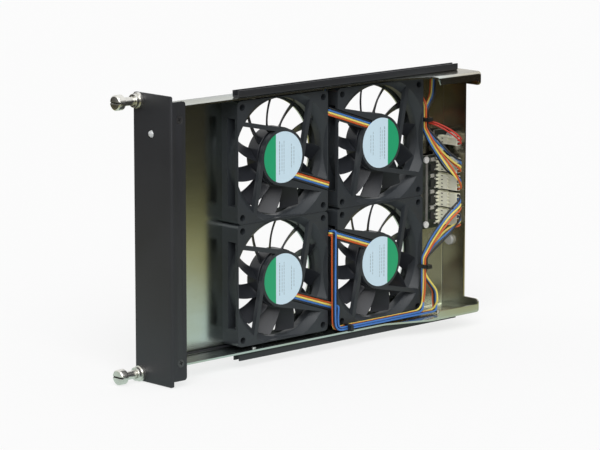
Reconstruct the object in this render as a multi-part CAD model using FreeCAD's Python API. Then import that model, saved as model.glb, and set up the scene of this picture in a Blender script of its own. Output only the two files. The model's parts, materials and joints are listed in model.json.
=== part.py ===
import FreeCAD, Part
import math
import os

from FreeCAD import Vector as V

# Frame: x = 0 is the seating plane behind the front panel and +X runs to the rear.
# y = 0 is the middle of the module's depth, and the back plate is on +Y.
# z = 0 is the middle of its height. All lengths are millimetres.
X = V(1, 0, 0)
Y = V(0, 1, 0)
Z = V(0, 0, 1)

# Fans
FAN = 80.0                    # side of the square fan frame
FAN_T = 15.0                  # thickness of a fan
HOLE_INSET = 4.25             # mounting holes, from the fan's sides
FAN_HOLE_R = 2.15
FAN_CORNER = 3.0              # rounding of the frame's corners
THROAT_WALL = 1.6             # wall beside the bore, at the middle of a side
FLARE_OUT = 4.6               # how far the bore widens in the corners, at both faces
FLARE_DEPTH = 4.5
FLARE_WALL = 0.8              # wall left beside a flare
RECESS_NEAR = 2.4             # recess of a side, measured from the fan's near face
RECESS_FAR = 9.5
RECESS_WALL = 1.2             # wall left round the bore behind a recess
POST_L = 11.5                 # corner posts between the recesses, along a side
POST_DEPTH = 8.5
HUB_BASE_R = 18.6             # fixed disc that carries the motor
HUB_BASE_T = 3.2
STRUT_W = 3.0
STRUT_LINE_R = 17.2           # circle that the struts' centre lines touch
STRUT_TILT = 12.0             # degrees outwards from square
WIRE_STRUT = 3                # quarter whose strut carries the lead
WIRE_LINE_R = 9.4             # circle that the lead's line on that strut touches
WIRE_TILT = 18.5
LABEL_R = 16.8
LABEL_T = 0.15
LABEL_GAP = 0.1

# Rotor
BLADES = 11
BLADE_TIP_GAP = 0.8
BLADE_SWEEP = 19.0            # degrees that a blade turns through from edge to edge
BLADE_CAMBER = 1.3
BLADE_ROOT_T = 1.5
BLADE_TIP_T = 1.0
BLADE_NEAR = 4.2              # blade's edges, measured from the fan's near face
BLADE_FAR_GAP = 1.2
HUB_R = 19.3                  # turning hub
HUB_WALL = 2.0
HUB_NEAR = 4.0
HUB_FAR_GAP = 0.6
CUP_WALL = 1.0                # steel cup inside the hub
MAGNET_WALL = 1.8
MAGNET_L = 6.5
ROTOR_GAP = 0.5               # air gap round the stator
SHAFT_R = 1.5
SHAFT_GAP = 0.03              # running clearance in the bearings
BEARING_R = 4.0
BEARING_W = 2.5
TUBE_WALL = 1.0               # moulded tube round the bearings
TUBE_L = 8.0
STATOR_L = 5.0
STATOR_LIFT = 2.0             # from the hub base to the stator
POLE_W = 4.0
POLE_SHOE = 2.0
POLES = 4
DRIVER_T = 1.2
DRIVER_GAP = 0.3

# Tray
SHEET = 1.2
BEND = 0.8                    # inside radius of the folds
DEPTH = 35.2                  # depth of the tray and width of the front panel
FRONT_BAY = 71.2              # from the panel to the first fan
COLUMN_GAP = 8.8              # between the fan columns
ROW_GAP = 0.2                 # between the fan rows
EDGE_GAP = 1.7                # between fans and flanges
REAR_BAY = 34.8               # from the last fan to the rear wall
FLANGE_DEPTH = 21.7           # flange along the fans, from the plate's outer face
FLANGE_SLOPE_FROM = 41.0      # where the flange starts to widen, before the last fan's edge
FLANGE_SLOPE = 37.0           # length of the widening
LIP = 6.0
LIP_CUT = 4.0                 # sloped front end of a lip
EAR = 9.5
EAR_CORNER = 2.5
TAB_L = 9.5                   # front tabs behind the panel's return
TAB_H = 12.0
SEAM_FLANGE = 11.0            # plate's front flange on the panel
SEAM_INSET = 12.0
AIR_LIP = 1.1                 # how far the plate stands into a fan's bore, all round

# Front panel
PANEL_T = 1.5
PANEL_OVERLAP = 9.0           # beyond the tray, above and below
PANEL_CORNER = 1.6
RETURN_DEPTH = 12.0           # from the front face
RETURN_INSET = 3.7
RETURN_CORNER = 2.0
RETURN_SCREW_X = 5.7
STUD_R = 1.45
STUD_L = 6.0
STUD_Z = 60.0
STUD_Y = 11.0
NUT_R = 3.1
NUT_H = 2.4
SCREW_R = 1.45
SCREW_GAP = 0.1
CSK_R = 2.8
CSK_H = 1.3
SCREW_L = 5.0

# Captive screws
KNOB_R = 4.9
KNOB_L = 5.8
KNOB_EDGE = 0.7
SLOT_W = 1.0
SLOT_DEPTH = 1.1
NECK_R = 2.7
NECK_SHOWN = 9.0              # between knob and ferrule, with the screw out
NECK_INSIDE = 1.2
FERRULE_R = 5.0
FERRULE_STEP = 0.7
FERRULE_H = 5.0
SLEEVE_R = 3.6                # ferrule behind the panel
SLEEVE_L = 5.0
SLEEVE_END = 1.0
SLIDE_GAP = 0.1
SHANK_R = 1.45
SHANK_TIP = 5.0               # beyond the sleeve
STOP_R = 2.4
STOP_T = 0.8
STOP_GAP = 0.1
SPRING_WIRE = 0.5
SPRING_TURNS = 5
FERRULE_EDGE = 5.0            # ferrule's axis from the panel's edges

# Indicator
LED_R = 2.5
LED_Y = 1.3
LED_Z = 66.9
LED_PROUD = 1.4
LED_BODY = 5.0
LED_GAP = 0.1
HOLDER_WALL = 1.2
HOLDER_L = 4.0

# Guide rails
RAIL_W = 6.0
RAIL_H = 4.7
RAIL_WALL = 1.0
RAIL_LEAD = 2.7               # in front of the first fan
RAIL_REAR = 7.5               # from a rail's end to the rear of the tray
RIVET_R = 1.25
RIVET_SIDE_GAP = 0.1          # between a rivet head and the rail's bends
RIVET_HEAD_H = 0.8
RIVET_END = 15.0

# Circuit board and connectors
BOARD_T = 1.6
BOARD_LIFT = 3.3              # spacers between plate and board
BOARD_W = 23.5
BOARD_GAP = 1.3               # to the rear wall
BOARD_TOP = 24.5
BOARD_BOTTOM = -26.0
BOARD_TAB_TOP = 41.0
BOARD_TAB_W = 12.0
SPACER_R = 2.6
BOARD_SCREW_R = 1.2
BOARD_HEAD_R = 2.3
BOARD_HEAD_H = 1.4
SPACER_INSET = 2.9
PIN_PITCH = 2.54
PLUG_W = 3.8
PLUG_PITCH = 12.1
PLUG_H = 17.6                 # header and plug, above the board
HEADER_H = 6.6
HEADER_WALL = 1.0
PLUG_EDGE = 4.9               # from the board's rear edge to the plugs
LED_PLUG_Z = 34.5
WIRE_D = 1.4
CHIP = (3.2, 5.0, 1.2)        # along x, z and away from the board
CHIP_COLUMN = 8.6             # from the board's front edge
CHIP_PITCH = 11.0
CHIPS = 4

# Docking connector on the rear wall
DOCK_Y = 8.8
DOCK_BOLT_Z = 35.6
DOCK_FLANGE_T = 2.0
DOCK_FLANGE_W = 12.4
DOCK_FLANGE_END = 4.4
SHROUD_W = 8.6
SHROUD_L = 54.0
SHROUD_H = 4.5
SHROUD_WALL = 1.2
DOCK_BLOCK_W = 5.8
DOCK_BLOCK_L = 48.0
DOCK_BLOCK_IN = 5.0
DOCK_GAP = 0.4
DOCK_CONTACTS = 10
CONTACT_PITCH = 4.6
BOLT_R = 1.45
BOLT_HEAD_R = 3.4
BOLT_HEAD_H = 2.2

# Fan screws, from outside the plate
FAN_SCREW_R = 2.05
FAN_SCREW_L = 8.0
FAN_HEAD_R = 3.6
FAN_HEAD_H = 1.9

# Leads
LED_WIRE_D = 1.2
CHANNEL_GAP = 0.3
TIE_W = 2.6
TIE_T = 0.8
TIE_GAP = 0.12
TIE_HEAD = 4.0
TIE_HEAD_H = 2.4
LEAD_FIRST = 6.0              # start of a lead along its strut, under the label
FOLD_R = 1.5                  # bend across a lead's flat side
FOLD_GAP = 0.05
SWING_R = 4.4                 # bend in a lead's own plane
RUN_SHARE = 0.45              # part of a run that a bend may take
GAP_SIDE = 1.8                # from the first column to the leads' run along it
GAP_STEP = 2.6                # between the runs of the two lower leads
GAP_SWING = 3.05              # bend of an upper lead in its own plane, in the gap
RUN_GAP = 0.25                # between the upper leads
TURN_R = 6.0                  # bends from the gap to the rear
INNER_TURN_R = 4.3
LED_DROP_X = 12.5
LED_LEAD_LIFT = 2.2           # from the plate to the indicator's lead
LED_BEND = 5.0
LED_RISE = 5.4                # behind the last fan
UPPER_TIE = (3.5, 2.95, 29.65)   # from the last fan, its near face and the upper leads' height
LOWER_TIE = (-3.2, 32.4)      # from the last fan and the lower leads' height
FLOOR_TIE = 11.4              # from the leads' run between the columns
TIE_STRAIGHT = 5.8            # straight part of the leads below or above a tie
PLUG_TURN = 5.1               # from a plug to the last bend of its lead
HANG = ((0.2, 0.32, 0.34), (0.53, 0.855, 0.755))   # shares of a lead's way from its tie to its plug

# Worked out from the sizes above
HOLE_PITCH = FAN - 2 * HOLE_INSET
TRAY_H = 2 * FAN + ROW_GAP + 2 * (EDGE_GAP + SHEET)
PANEL_H = TRAY_H + 2 * PANEL_OVERLAP
THROAT_R = FAN / 2 - THROAT_WALL
FLARE_R = THROAT_R + FLARE_OUT
AIR_R = THROAT_R - AIR_LIP
WALL_IN = FRONT_BAY + 2 * FAN + COLUMN_GAP + REAR_BAY
TRAY_L = WALL_IN + SHEET
NEAR_Y = -DEPTH / 2
FAR_Y = DEPTH / 2
PLATE_Y = FAR_Y - SHEET
FAN_NEAR = PLATE_Y - FAN_T
FLANGE_Y = FAR_Y - FLANGE_DEPTH
LAST_EDGE = FRONT_BAY + 2 * FAN + COLUMN_GAP
COLUMNS = (FRONT_BAY + FAN / 2, LAST_EDGE - FAN / 2)
ROWS = ((FAN + ROW_GAP) / 2, -(FAN + ROW_GAP) / 2)
GAP_X = FRONT_BAY + FAN + GAP_SIDE
RAIL_FRONT = FRONT_BAY - RAIL_LEAD
RAIL_L = TRAY_L - RAIL_REAR - RAIL_FRONT
RIVET_HEAD_R = RAIL_W / 2 - RAIL_WALL - BEND / 2 - RIVET_SIDE_GAP
FERRULE_Y = FAR_Y - FERRULE_EDGE
FERRULE_Z = PANEL_H / 2 - FERRULE_EDGE
HUB_IN = HUB_R - HUB_WALL
CUP_IN = HUB_IN - CUP_WALL
MAGNET_IN = CUP_IN - MAGNET_WALL
STATOR_R = MAGNET_IN - ROTOR_GAP
TUBE_R = BEARING_R + TUBE_WALL
HUB_FAR = FAN_T - HUB_FAR_GAP
CUP_FAR = HUB_FAR - HUB_WALL
BOARD_FAR = PLATE_Y - BOARD_LIFT
BOARD_NEAR = BOARD_FAR - BOARD_T
BOARD_REAR = WALL_IN - BOARD_GAP
BOARD_FRONT = BOARD_REAR - BOARD_W
PLUG_X = BOARD_REAR - PLUG_EDGE - PLUG_W / 2
PLUG_TIP = BOARD_NEAR - PLUG_H
PLUG_ZS = [PLUG_PITCH * (1.5 - n) for n in range(4)]
LEAD_W = 4 * WIRE_D
CHANNEL_W = LEAD_W + 2 * CHANNEL_GAP
LABEL_SEAT = LABEL_T + LABEL_GAP
CHANNEL_DEPTH = LABEL_SEAT + WIRE_D + CHANNEL_GAP
LEAD_Y = FAN_NEAR + LABEL_SEAT + CHANNEL_GAP / 2 + WIRE_D / 2
LEAD_LAYER = WIRE_D + TIE_GAP
TOP_Z = TRAY_H / 2 - SHEET - EDGE_GAP / 2
FLOOR_LEAD_Y = FAN_NEAR - 2 * TIE_GAP - TIE_T - LEAD_W / 2
LAYER_1 = -TRAY_H / 2 + SHEET + 2 * TIE_GAP + TIE_T + WIRE_D / 2
LAYER_2 = LAYER_1 + LEAD_LAYER
UPPER_RUN_2 = LEAD_Y + FOLD_R + FOLD_GAP + GAP_SWING
UPPER_RUN_1 = UPPER_RUN_2 + LEAD_W + RUN_GAP
UPPER_TIE_X = LAST_EDGE + UPPER_TIE[0]
UPPER_TIE_Y = FAN_NEAR + UPPER_TIE[1]
UPPER_TIE_Z = TOP_Z - UPPER_TIE[2]
LOWER_TIE_X = LAST_EDGE + LOWER_TIE[0]
LOWER_TIE_Z = LAYER_1 + LOWER_TIE[1]
FLOOR_TIE_X = GAP_X + FLOOR_TIE
PLUG_TURN_Y = PLUG_TIP - PLUG_TURN
LED_LEAD_Y = PLATE_Y - LED_LEAD_LIFT
LED_RISE_X = LAST_EDGE + LED_RISE


def box(x0, x1, y0, y1, z0, z1):
    """A block between two corners."""
    return Part.makeBox(x1 - x0, y1 - y0, z1 - z0, V(x0, y0, z0))


def rod(axis, radius, start, end, centre=V(0, 0, 0)):
    """A cylinder along an axis, from start to end on that axis."""
    return Part.makeCylinder(radius, end - start, centre + axis * start, axis)


def ring(axis, outer, inner, start, end, centre=V(0, 0, 0)):
    """A tube along an axis."""
    return rod(axis, outer, start, end, centre).cut(rod(axis, inner, start, end, centre))


def join(shapes):
    """Touching or overlapping solids made one, with seams removed."""
    return shapes[0].multiFuse(shapes[1:]).removeSplitter()


def rounded_path(points, radii):
    """Edges of a path whose corners are tangent arcs of the given radii."""
    edges = []
    start = points[0]
    for before, corner, after, radius in zip(points, points[1:], points[2:], radii):
        into = (corner - before).normalize()
        out = (after - corner).normalize()
        half = into.getAngle(out) / 2
        first = corner - into * (radius * math.tan(half))
        last = corner + out * (radius * math.tan(half))
        inwards = (out - into).normalize()
        middle = corner + inwards * (radius / math.cos(half) - radius)
        edges.append(Part.LineSegment(start, first).toShape())
        edges.append(Part.Arc(first, middle, last).toShape())
        start = last
    edges.append(Part.LineSegment(start, points[-1]).toShape())
    return edges


def rounded_plate(points, radius, along):
    """A closed outline with every corner rounded, given a thickness."""
    middle = (points[0] + points[-1]) * 0.5
    path = [middle] + list(points) + [middle]
    edges = rounded_path(path, [radius] * len(points))
    return Part.Face(Part.Wire(edges)).extrude(along)


def folded_sheet(outer, thickness, bend, normal, along):
    """A bent sheet from the square outline of its outer side, folding towards normal x direction."""
    sides = []
    for first, last in zip(outer, outer[1:]):
        sides.append(normal.cross(last - first).normalize() * thickness)
    offsets = [sides[0]] + [a + b for a, b in zip(sides, sides[1:])] + [sides[-1]]
    inner = [point + offset for point, offset in zip(outer, offsets)]
    folds = len(outer) - 2
    edges = rounded_path(outer, [bend + thickness] * folds)
    edges.append(Part.LineSegment(outer[-1], inner[-1]).toShape())
    edges += rounded_path(inner[::-1], [bend] * folds)
    edges.append(Part.LineSegment(inner[0], outer[0]).toShape())
    return Part.Face(Part.Wire(edges)).extrude(along)


def fan_places():
    """Near face's centre of each fan and its turn about Y, row by row."""
    places = []
    for z in ROWS:
        for x, turn in zip(COLUMNS, (0, 180)):
            places.append((V(x, FAN_NEAR, z), turn))
    return places


def placed(shape, place):
    """A copy of a fan's piece, turned and moved to its fan."""
    centre, turn = place
    copy = shape.copy()
    copy.rotate(V(0, 0, 0), Y, turn)
    copy.translate(centre)
    return copy


def at_fan_holes(make):
    """One shape at each fan mounting hole of the module."""
    half = HOLE_PITCH / 2
    shapes = []
    for centre, _ in fan_places():
        for dx in (-half, half):
            for dz in (-half, half):
                shapes.append(make(V(centre.x + dx, 0, centre.z + dz)))
    return shapes


def front_panel():
    """Folded panel with a return on the near side, weld studs and holes."""
    corner = V(-PANEL_T, NEAR_Y, -PANEL_H / 2)
    outer = [V(-PANEL_T, FAR_Y, corner.z), corner, V(RETURN_DEPTH - PANEL_T, NEAR_Y, corner.z)]
    sheet = folded_sheet(outer, PANEL_T, BEND, Z, Z * PANEL_H)
    half = PANEL_H / 2
    face = [V(-PANEL_T, y, z) for y, z in
            ((NEAR_Y, -half), (FAR_Y, -half), (FAR_Y, half), (NEAR_Y, half))]
    face = rounded_plate(face, PANEL_CORNER, X * PANEL_T)
    low = half - RETURN_INSET
    side = [V(x, NEAR_Y, z) for x, z in
            ((-PANEL_T - RETURN_CORNER, -low), (RETURN_DEPTH - PANEL_T, -low),
             (RETURN_DEPTH - PANEL_T, low), (-PANEL_T - RETURN_CORNER, low))]
    side = rounded_plate(side, RETURN_CORNER, Y * (PANEL_T + BEND))
    panel = sheet.common(face.fuse(side))
    panel = panel.cut(rod(X, LED_R + LED_GAP, -PANEL_T, 0, V(0, LED_Y, LED_Z)))
    for sign in (1, -1):
        panel = panel.cut(rod(X, SLEEVE_R, -PANEL_T, 0, V(0, FERRULE_Y, sign * FERRULE_Z)))
        centre = V(RETURN_SCREW_X, 0, sign * (TRAY_H - TAB_H) / 2)
        panel = panel.cut(rod(Y, SCREW_R + SCREW_GAP, NEAR_Y, NEAR_Y + PANEL_T, centre))
        panel = panel.cut(countersink(centre))
        panel = panel.fuse(rod(X, STUD_R, 0, STUD_L, V(0, STUD_Y, sign * STUD_Z)))
    return panel


def countersink(centre):
    """Cone of a flat-headed screw in the panel's return."""
    return Part.makeCone(CSK_R, SCREW_R, CSK_H, V(centre.x, NEAR_Y, centre.z), Y)


def panel_screws():
    """Flat-headed screws through the return into the tray's front tabs."""
    screws = []
    for sign in (1, -1):
        centre = V(RETURN_SCREW_X, 0, sign * (TRAY_H - TAB_H) / 2)
        shank = rod(Y, SCREW_R, NEAR_Y + CSK_H, NEAR_Y + SCREW_L, centre)
        screws.append(countersink(centre).fuse(shank))
    return Part.makeCompound(screws)


def panel_nuts():
    """Hexagon nuts on the panel's weld studs."""
    nuts = []
    for sign in (1, -1):
        corners = [V(SHEET, STUD_Y + NUT_R * math.cos(a), sign * STUD_Z + NUT_R * math.sin(a))
                   for a in [math.radians(60 * k) for k in range(7)]]
        nut = Part.Face(Part.makePolygon(corners)).extrude(X * NUT_H)
        nuts.append(nut.cut(rod(X, STUD_R, 0, STUD_L, V(0, STUD_Y, sign * STUD_Z))))
    return Part.makeCompound(nuts)


def channel(near, lip, x0, x1):
    """The tray's folded section: plate, two flanges and their lips."""
    half = TRAY_H / 2
    outer = [V(x0, near, -half + lip), V(x0, near, -half), V(x0, FAR_Y, -half),
             V(x0, FAR_Y, half), V(x0, near, half), V(x0, near, half - lip)]
    return folded_sheet(outer, SHEET, BEND, X, X * (x1 - x0))


def flange_cut():
    """What is cut from the near side of both flanges, seen from above."""
    past = 2 * NEAR_Y
    slope = LAST_EDGE - FLANGE_SLOPE_FROM
    full = slope + FLANGE_SLOPE
    points = [V(TAB_L, past, 0), V(TAB_L, FLANGE_Y, 0), V(slope, FLANGE_Y, 0),
              V(full, NEAR_Y, 0), V(full, past, 0), V(TAB_L, past, 0)]
    cut = Part.Face(Part.makePolygon(points)).extrude(Z * 2 * TRAY_H)
    cut.translate(V(0, 0, -TRAY_H))
    return cut


def lip_cut(sign):
    """Sloped front end of one lip."""
    full = LAST_EDGE - FLANGE_SLOPE_FROM + FLANGE_SLOPE
    root = sign * (TRAY_H / 2 - SHEET - BEND)
    tip = sign * (TRAY_H / 2 - 2 * LIP)
    points = [V(full - LIP, NEAR_Y, root), V(full, NEAR_Y, root),
              V(full + LIP_CUT, NEAR_Y, tip), V(full - LIP, NEAR_Y, tip),
              V(full - LIP, NEAR_Y, root)]
    return Part.Face(Part.makePolygon(points)).extrude(Y * (SHEET + BEND))


def rear_wall():
    """Wall at the rear with full-depth ears at its ends."""
    half = TRAY_H / 2
    wall = box(WALL_IN, TRAY_L, FLANGE_Y, FAR_Y, -half, half)
    for sign in (1, -1):
        inner = sign * (half - EAR)
        ear = [V(WALL_IN, y, z) for y, z in
               ((NEAR_Y, inner), (FLANGE_Y + 2 * EAR_CORNER, inner),
                (FLANGE_Y + 2 * EAR_CORNER, sign * half), (NEAR_Y, sign * half))]
        wall = wall.fuse(rounded_plate(ear, EAR_CORNER, X * SHEET))
    return wall


def rear_fold():
    """Corner to take off outside the fold at the rear wall, and corner to fill inside it."""
    half = TRAY_H / 2 - SHEET - BEND
    outer = BEND + SHEET
    centre = V(TRAY_L - outer, FAR_Y - outer, 0)
    sharp = box(centre.x, TRAY_L, centre.y, FAR_Y, -half, half).cut(rod(Z, outer, -half, half, centre))
    fill = box(centre.x, WALL_IN, centre.y, PLATE_Y, -half, half).cut(rod(Z, BEND, -half, half, centre))
    return sharp, fill


def tray():
    """One folded sheet: back plate, flanges, lips, rear wall and front tabs."""
    body = channel(NEAR_Y, LIP, TAB_L, WALL_IN).cut(flange_cut())
    for sign in (1, -1):
        body = body.cut(lip_cut(sign))
    front = channel(NEAR_Y + PANEL_T, TAB_H, 0, TAB_L)
    seam_z = TRAY_H / 2 - SEAM_INSET
    seam = box(0, SHEET, FAR_Y - SEAM_FLANGE, FAR_Y, -seam_z, seam_z)
    sharp, fill = rear_fold()
    body = join([body, front, rear_wall(), seam, fill]).cut(sharp)
    fold = NEAR_Y + PANEL_T + SHEET + BEND
    body = body.cut(box(0, BEND, NEAR_Y, fold, -TRAY_H / 2, TRAY_H / 2))
    holes = [rod(Y, AIR_R, PLATE_Y, FAR_Y, V(c.x, 0, c.z)) for c, _ in fan_places()]
    holes += at_fan_holes(lambda c: rod(Y, FAN_HOLE_R, PLATE_Y, FAR_Y, c))
    holes += [rod(Y, BOARD_SCREW_R + SCREW_GAP, PLATE_Y, FAR_Y, c) for c in spacer_places()]
    holes += [rod(Z, RIVET_R, -TRAY_H, TRAY_H, V(x, 0, 0)) for x in rivet_xs()]
    for sign in (1, -1):
        centre = V(RETURN_SCREW_X, 0, sign * (TRAY_H - TAB_H) / 2)
        holes.append(rod(Y, SCREW_R, NEAR_Y, 0, centre))
        holes.append(rod(X, STUD_R, 0, STUD_L, V(0, STUD_Y, sign * STUD_Z)))
        holes.append(rod(X, BOLT_R, WALL_IN, TRAY_L, V(0, DOCK_Y, sign * DOCK_BOLT_Z)))
    block_y = BOARD_NEAR - DOCK_BLOCK_W
    half = DOCK_BLOCK_L / 2
    holes.append(box(WALL_IN, TRAY_L, block_y, BOARD_NEAR, -half, half))
    return body.cut(Part.makeCompound(holes))


def rivet_xs():
    """Places of the rivets along a rail."""
    return [RAIL_FRONT + RIVET_END, RAIL_FRONT + RAIL_L / 2, RAIL_FRONT + RAIL_L - RIVET_END]


def rail(sign):
    """A channel that opens outwards, on one flange of the tray."""
    half = RAIL_W / 2
    base = TRAY_H / 2
    outer = [V(RAIL_FRONT, -half, base + RAIL_H), V(RAIL_FRONT, -half, base),
             V(RAIL_FRONT, half, base), V(RAIL_FRONT, half, base + RAIL_H)]
    body = folded_sheet(outer, RAIL_WALL, BEND / 2, X, X * RAIL_L)
    for x in rivet_xs():
        body = body.cut(rod(Z, RIVET_R, base, base + RAIL_H, V(x, 0, 0)))
    return body if sign > 0 else body.mirror(V(0, 0, 0), Z)


def rail_rivets():
    """Rivets through rail and flange, with a head at both ends."""
    base = TRAY_H / 2
    rivets = []
    for x in rivet_xs():
        place = V(x, 0, 0)
        shank = rod(Z, RIVET_R, base - SHEET, base + RAIL_WALL, place)
        head = rod(Z, RIVET_HEAD_R, base + RAIL_WALL, base + RAIL_WALL + RIVET_HEAD_H, place)
        tail = rod(Z, RIVET_HEAD_R, base - SHEET - RIVET_HEAD_H, base - SHEET, place)
        rivet = join([shank, head, tail])
        rivets += [rivet, rivet.mirror(V(0, 0, 0), Z)]
    return Part.makeCompound(rivets)


def tangent(quarter, radius, tilt):
    """Start and direction of a line that touches a circle round the hub."""
    angle = math.radians(90 * quarter - tilt)
    start = V(math.cos(angle), 0, math.sin(angle)) * radius
    return start, V(-math.sin(angle), 0, math.cos(angle))


def strut_line(quarter):
    """Centre line of a strut."""
    return tangent(quarter, STRUT_LINE_R, STRUT_TILT)


def wire_line():
    """Centre line of the lead's channel."""
    return tangent(WIRE_STRUT, WIRE_LINE_R, WIRE_TILT)


def slab(corners, depth):
    """A plate at the fan's near face, from its corners."""
    return Part.Face(Part.makePolygon(corners + corners[:1])).extrude(Y * depth)


def bar(line, width, depth):
    """A bar along a line, from its start to beyond the frame."""
    point, along = line
    across = V(along.z, 0, -along.x) * (width / 2)
    end = point + along * FAN
    return slab([point + across, end + across, end - across, point - across], depth)


def wire_web():
    """The plate between the wire strut and the lead's channel."""
    first, along = strut_line(WIRE_STRUT)
    last, beside = wire_line()
    reach = FAN / 2
    return slab([first, first + along * reach, last + beside * reach, last], HUB_BASE_T)


def fan_bore():
    """The bore with its corner flares at both faces."""
    bore = rod(Y, THROAT_R, 0, FAN_T)
    flare = join([Part.makeCone(FLARE_R, THROAT_R, FLARE_DEPTH, V(0, 0, 0), Y),
                  Part.makeCone(THROAT_R, FLARE_R, FLARE_DEPTH, V(0, FAN_T - FLARE_DEPTH, 0), Y),
                  bore])
    room = FAN / 2 - FLARE_WALL
    return flare.common(box(-room, room, 0, FAN_T, -room, room))


def side_recesses():
    """Recesses in the frame's sides, round the outside of the bore and between the corner posts."""
    half = FAN / 2
    reach = half - POST_L
    deep = half - POST_DEPTH
    skin = join([Part.makeCone(FLARE_R + RECESS_WALL, THROAT_R + RECESS_WALL, FLARE_DEPTH, V(0, 0, 0), Y),
                 rod(Y, THROAT_R + RECESS_WALL, 0, FAN_T)])
    recess = box(deep, half, RECESS_NEAR, RECESS_FAR, -reach, reach).cut(skin)
    recesses = []
    for quarter in range(4):
        turned = recess.copy()
        turned.rotate(V(0, 0, 0), Y, 90 * quarter)
        recesses.append(turned)
    return recesses


def fan_frame():
    """Square frame with a flared bore, recessed sides, struts, hub base, bearing tube and wire channel."""
    half = FAN / 2
    outline = [V(-half, 0, -half), V(half, 0, -half), V(half, 0, half), V(-half, 0, half)]
    frame = rounded_plate(outline, FAN_CORNER, Y * FAN_T)
    hole = HOLE_PITCH / 2
    cuts = [fan_bore()] + side_recesses()
    for dx in (-hole, hole):
        for dz in (-hole, hole):
            cuts.append(rod(Y, FAN_HOLE_R, 0, FAN_T, V(dx, 0, dz)))
    frame = frame.cut(Part.makeCompound(cuts))
    base = rod(Y, HUB_BASE_R, 0, HUB_BASE_T)
    bars = [bar(strut_line(quarter), STRUT_W, HUB_BASE_T) for quarter in range(4)]
    bars += [bar(wire_line(), CHANNEL_W + STRUT_W / 2, HUB_BASE_T), wire_web()]
    inside = box(-half, half, 0, HUB_BASE_T, -half, half)
    inside = inside.common(rod(Y, FLARE_R + RECESS_WALL, 0, HUB_BASE_T))
    bars = [piece.common(inside) for piece in bars]
    tube = rod(Y, TUBE_R, HUB_BASE_T, HUB_BASE_T + TUBE_L)
    frame = join([frame, base, tube] + bars)
    frame = frame.cut(rod(Y, BEARING_R, HUB_BASE_T, HUB_BASE_T + TUBE_L))
    frame = frame.cut(rod(Y, LABEL_R + LABEL_GAP, 0, LABEL_SEAT))
    return frame.cut(bar(wire_line(), CHANNEL_W, CHANNEL_DEPTH))


def fan_label():
    """Round label in the hub's recess."""
    return rod(Y, LABEL_R, 0, LABEL_T)


def driver_board():
    """Ring-shaped board on the hub base, round the bearing tube."""
    return ring(Y, STATOR_R, TUBE_R + DRIVER_GAP, HUB_BASE_T, HUB_BASE_T + DRIVER_T)


def stator():
    """Laminated core: a ring, four arms and their curved shoes."""
    start = HUB_BASE_T + STATOR_LIFT
    end = start + STATOR_L
    core = rod(Y, TUBE_R + POLE_SHOE, start, end)
    shoes = ring(Y, STATOR_R, STATOR_R - POLE_SHOE, start, end)
    arm = box(-STATOR_R, STATOR_R, start, end, -POLE_W / 2, POLE_W / 2)
    gap = box(-STATOR_R, STATOR_R, start, end, -POLE_SHOE / 2, POLE_SHOE / 2)
    shapes = [core]
    for k in range(POLES // 2):
        turned = arm.copy()
        turned.rotate(V(0, 0, 0), Y, k * 360 / POLES)
        shapes.append(turned.common(rod(Y, STATOR_R - POLE_SHOE / 2, start, end)))
        slot = gap.copy()
        slot.rotate(V(0, 0, 0), Y, (k + 0.5) * 360 / POLES)
        shoes = shoes.cut(slot)
    return join(shapes + shoes.Solids).cut(rod(Y, TUBE_R, start, end))


def bearings():
    """Two ball bearings in the tube, drawn as closed rings."""
    rings = []
    for start in (HUB_BASE_T, HUB_BASE_T + TUBE_L - BEARING_W):
        rings.append(ring(Y, BEARING_R, SHAFT_R + SHAFT_GAP, start, start + BEARING_W))
    return Part.makeCompound(rings)


def blade_section(radius, thickness):
    """Curved section of a blade on a plane at a distance from the axis."""
    reach = radius * math.sin(math.radians(BLADE_SWEEP / 2))
    near = V(radius, BLADE_NEAR, reach)
    far = V(radius, FAN_T - BLADE_FAR_GAP, -reach)
    normal = (far - near).cross(X).normalize()
    middle = (near + far) * 0.5 - normal * BLADE_CAMBER
    skin = normal * (thickness / 2)
    front = Part.Arc(near + skin, middle + skin, far + skin).toShape()
    tip = Part.LineSegment(far + skin, far - skin).toShape()
    back = Part.Arc(far - skin, middle - skin, near - skin).toShape()
    root = Part.LineSegment(near - skin, near + skin).toShape()
    return Part.Wire([front, tip, back, root])


def impeller():
    """Hub cup with twisted, cambered blades trimmed to the bore."""
    tip_r = THROAT_R - BLADE_TIP_GAP
    blade = Part.makeLoft([blade_section(HUB_R - HUB_WALL / 2, BLADE_ROOT_T),
                           blade_section(tip_r + BLADE_TIP_T, BLADE_TIP_T)], True, True)
    blade = blade.common(ring(Y, tip_r, HUB_R - HUB_WALL / 4, 0, FAN_T))
    hub = rod(Y, HUB_R, HUB_NEAR, HUB_FAR).cut(rod(Y, HUB_IN, HUB_NEAR, CUP_FAR))
    hub = hub.cut(rod(Y, SHAFT_R, 0, CUP_FAR + HUB_WALL / 2))
    blades = []
    for k in range(BLADES):
        copy = blade.copy()
        copy.rotate(V(0, 0, 0), Y, k * 360 / BLADES)
        blades.append(copy)
    return hub.multiFuse(blades)


def rotor_cup():
    """Steel cup pressed into the hub, open towards the motor."""
    start = HUB_NEAR + CUP_WALL
    cup = rod(Y, HUB_IN, start, CUP_FAR).cut(rod(Y, CUP_IN, start, CUP_FAR - CUP_WALL))
    return cup.cut(rod(Y, SHAFT_R, start, CUP_FAR))


def magnet():
    """Ring magnet inside the cup."""
    end = CUP_FAR - CUP_WALL
    return ring(Y, CUP_IN, MAGNET_IN, end - MAGNET_L, end)


def shaft():
    """Shaft in the bearings, seated in the hub."""
    return rod(Y, SHAFT_R, HUB_BASE_T + SHAFT_GAP, CUP_FAR + HUB_WALL / 2)


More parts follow.
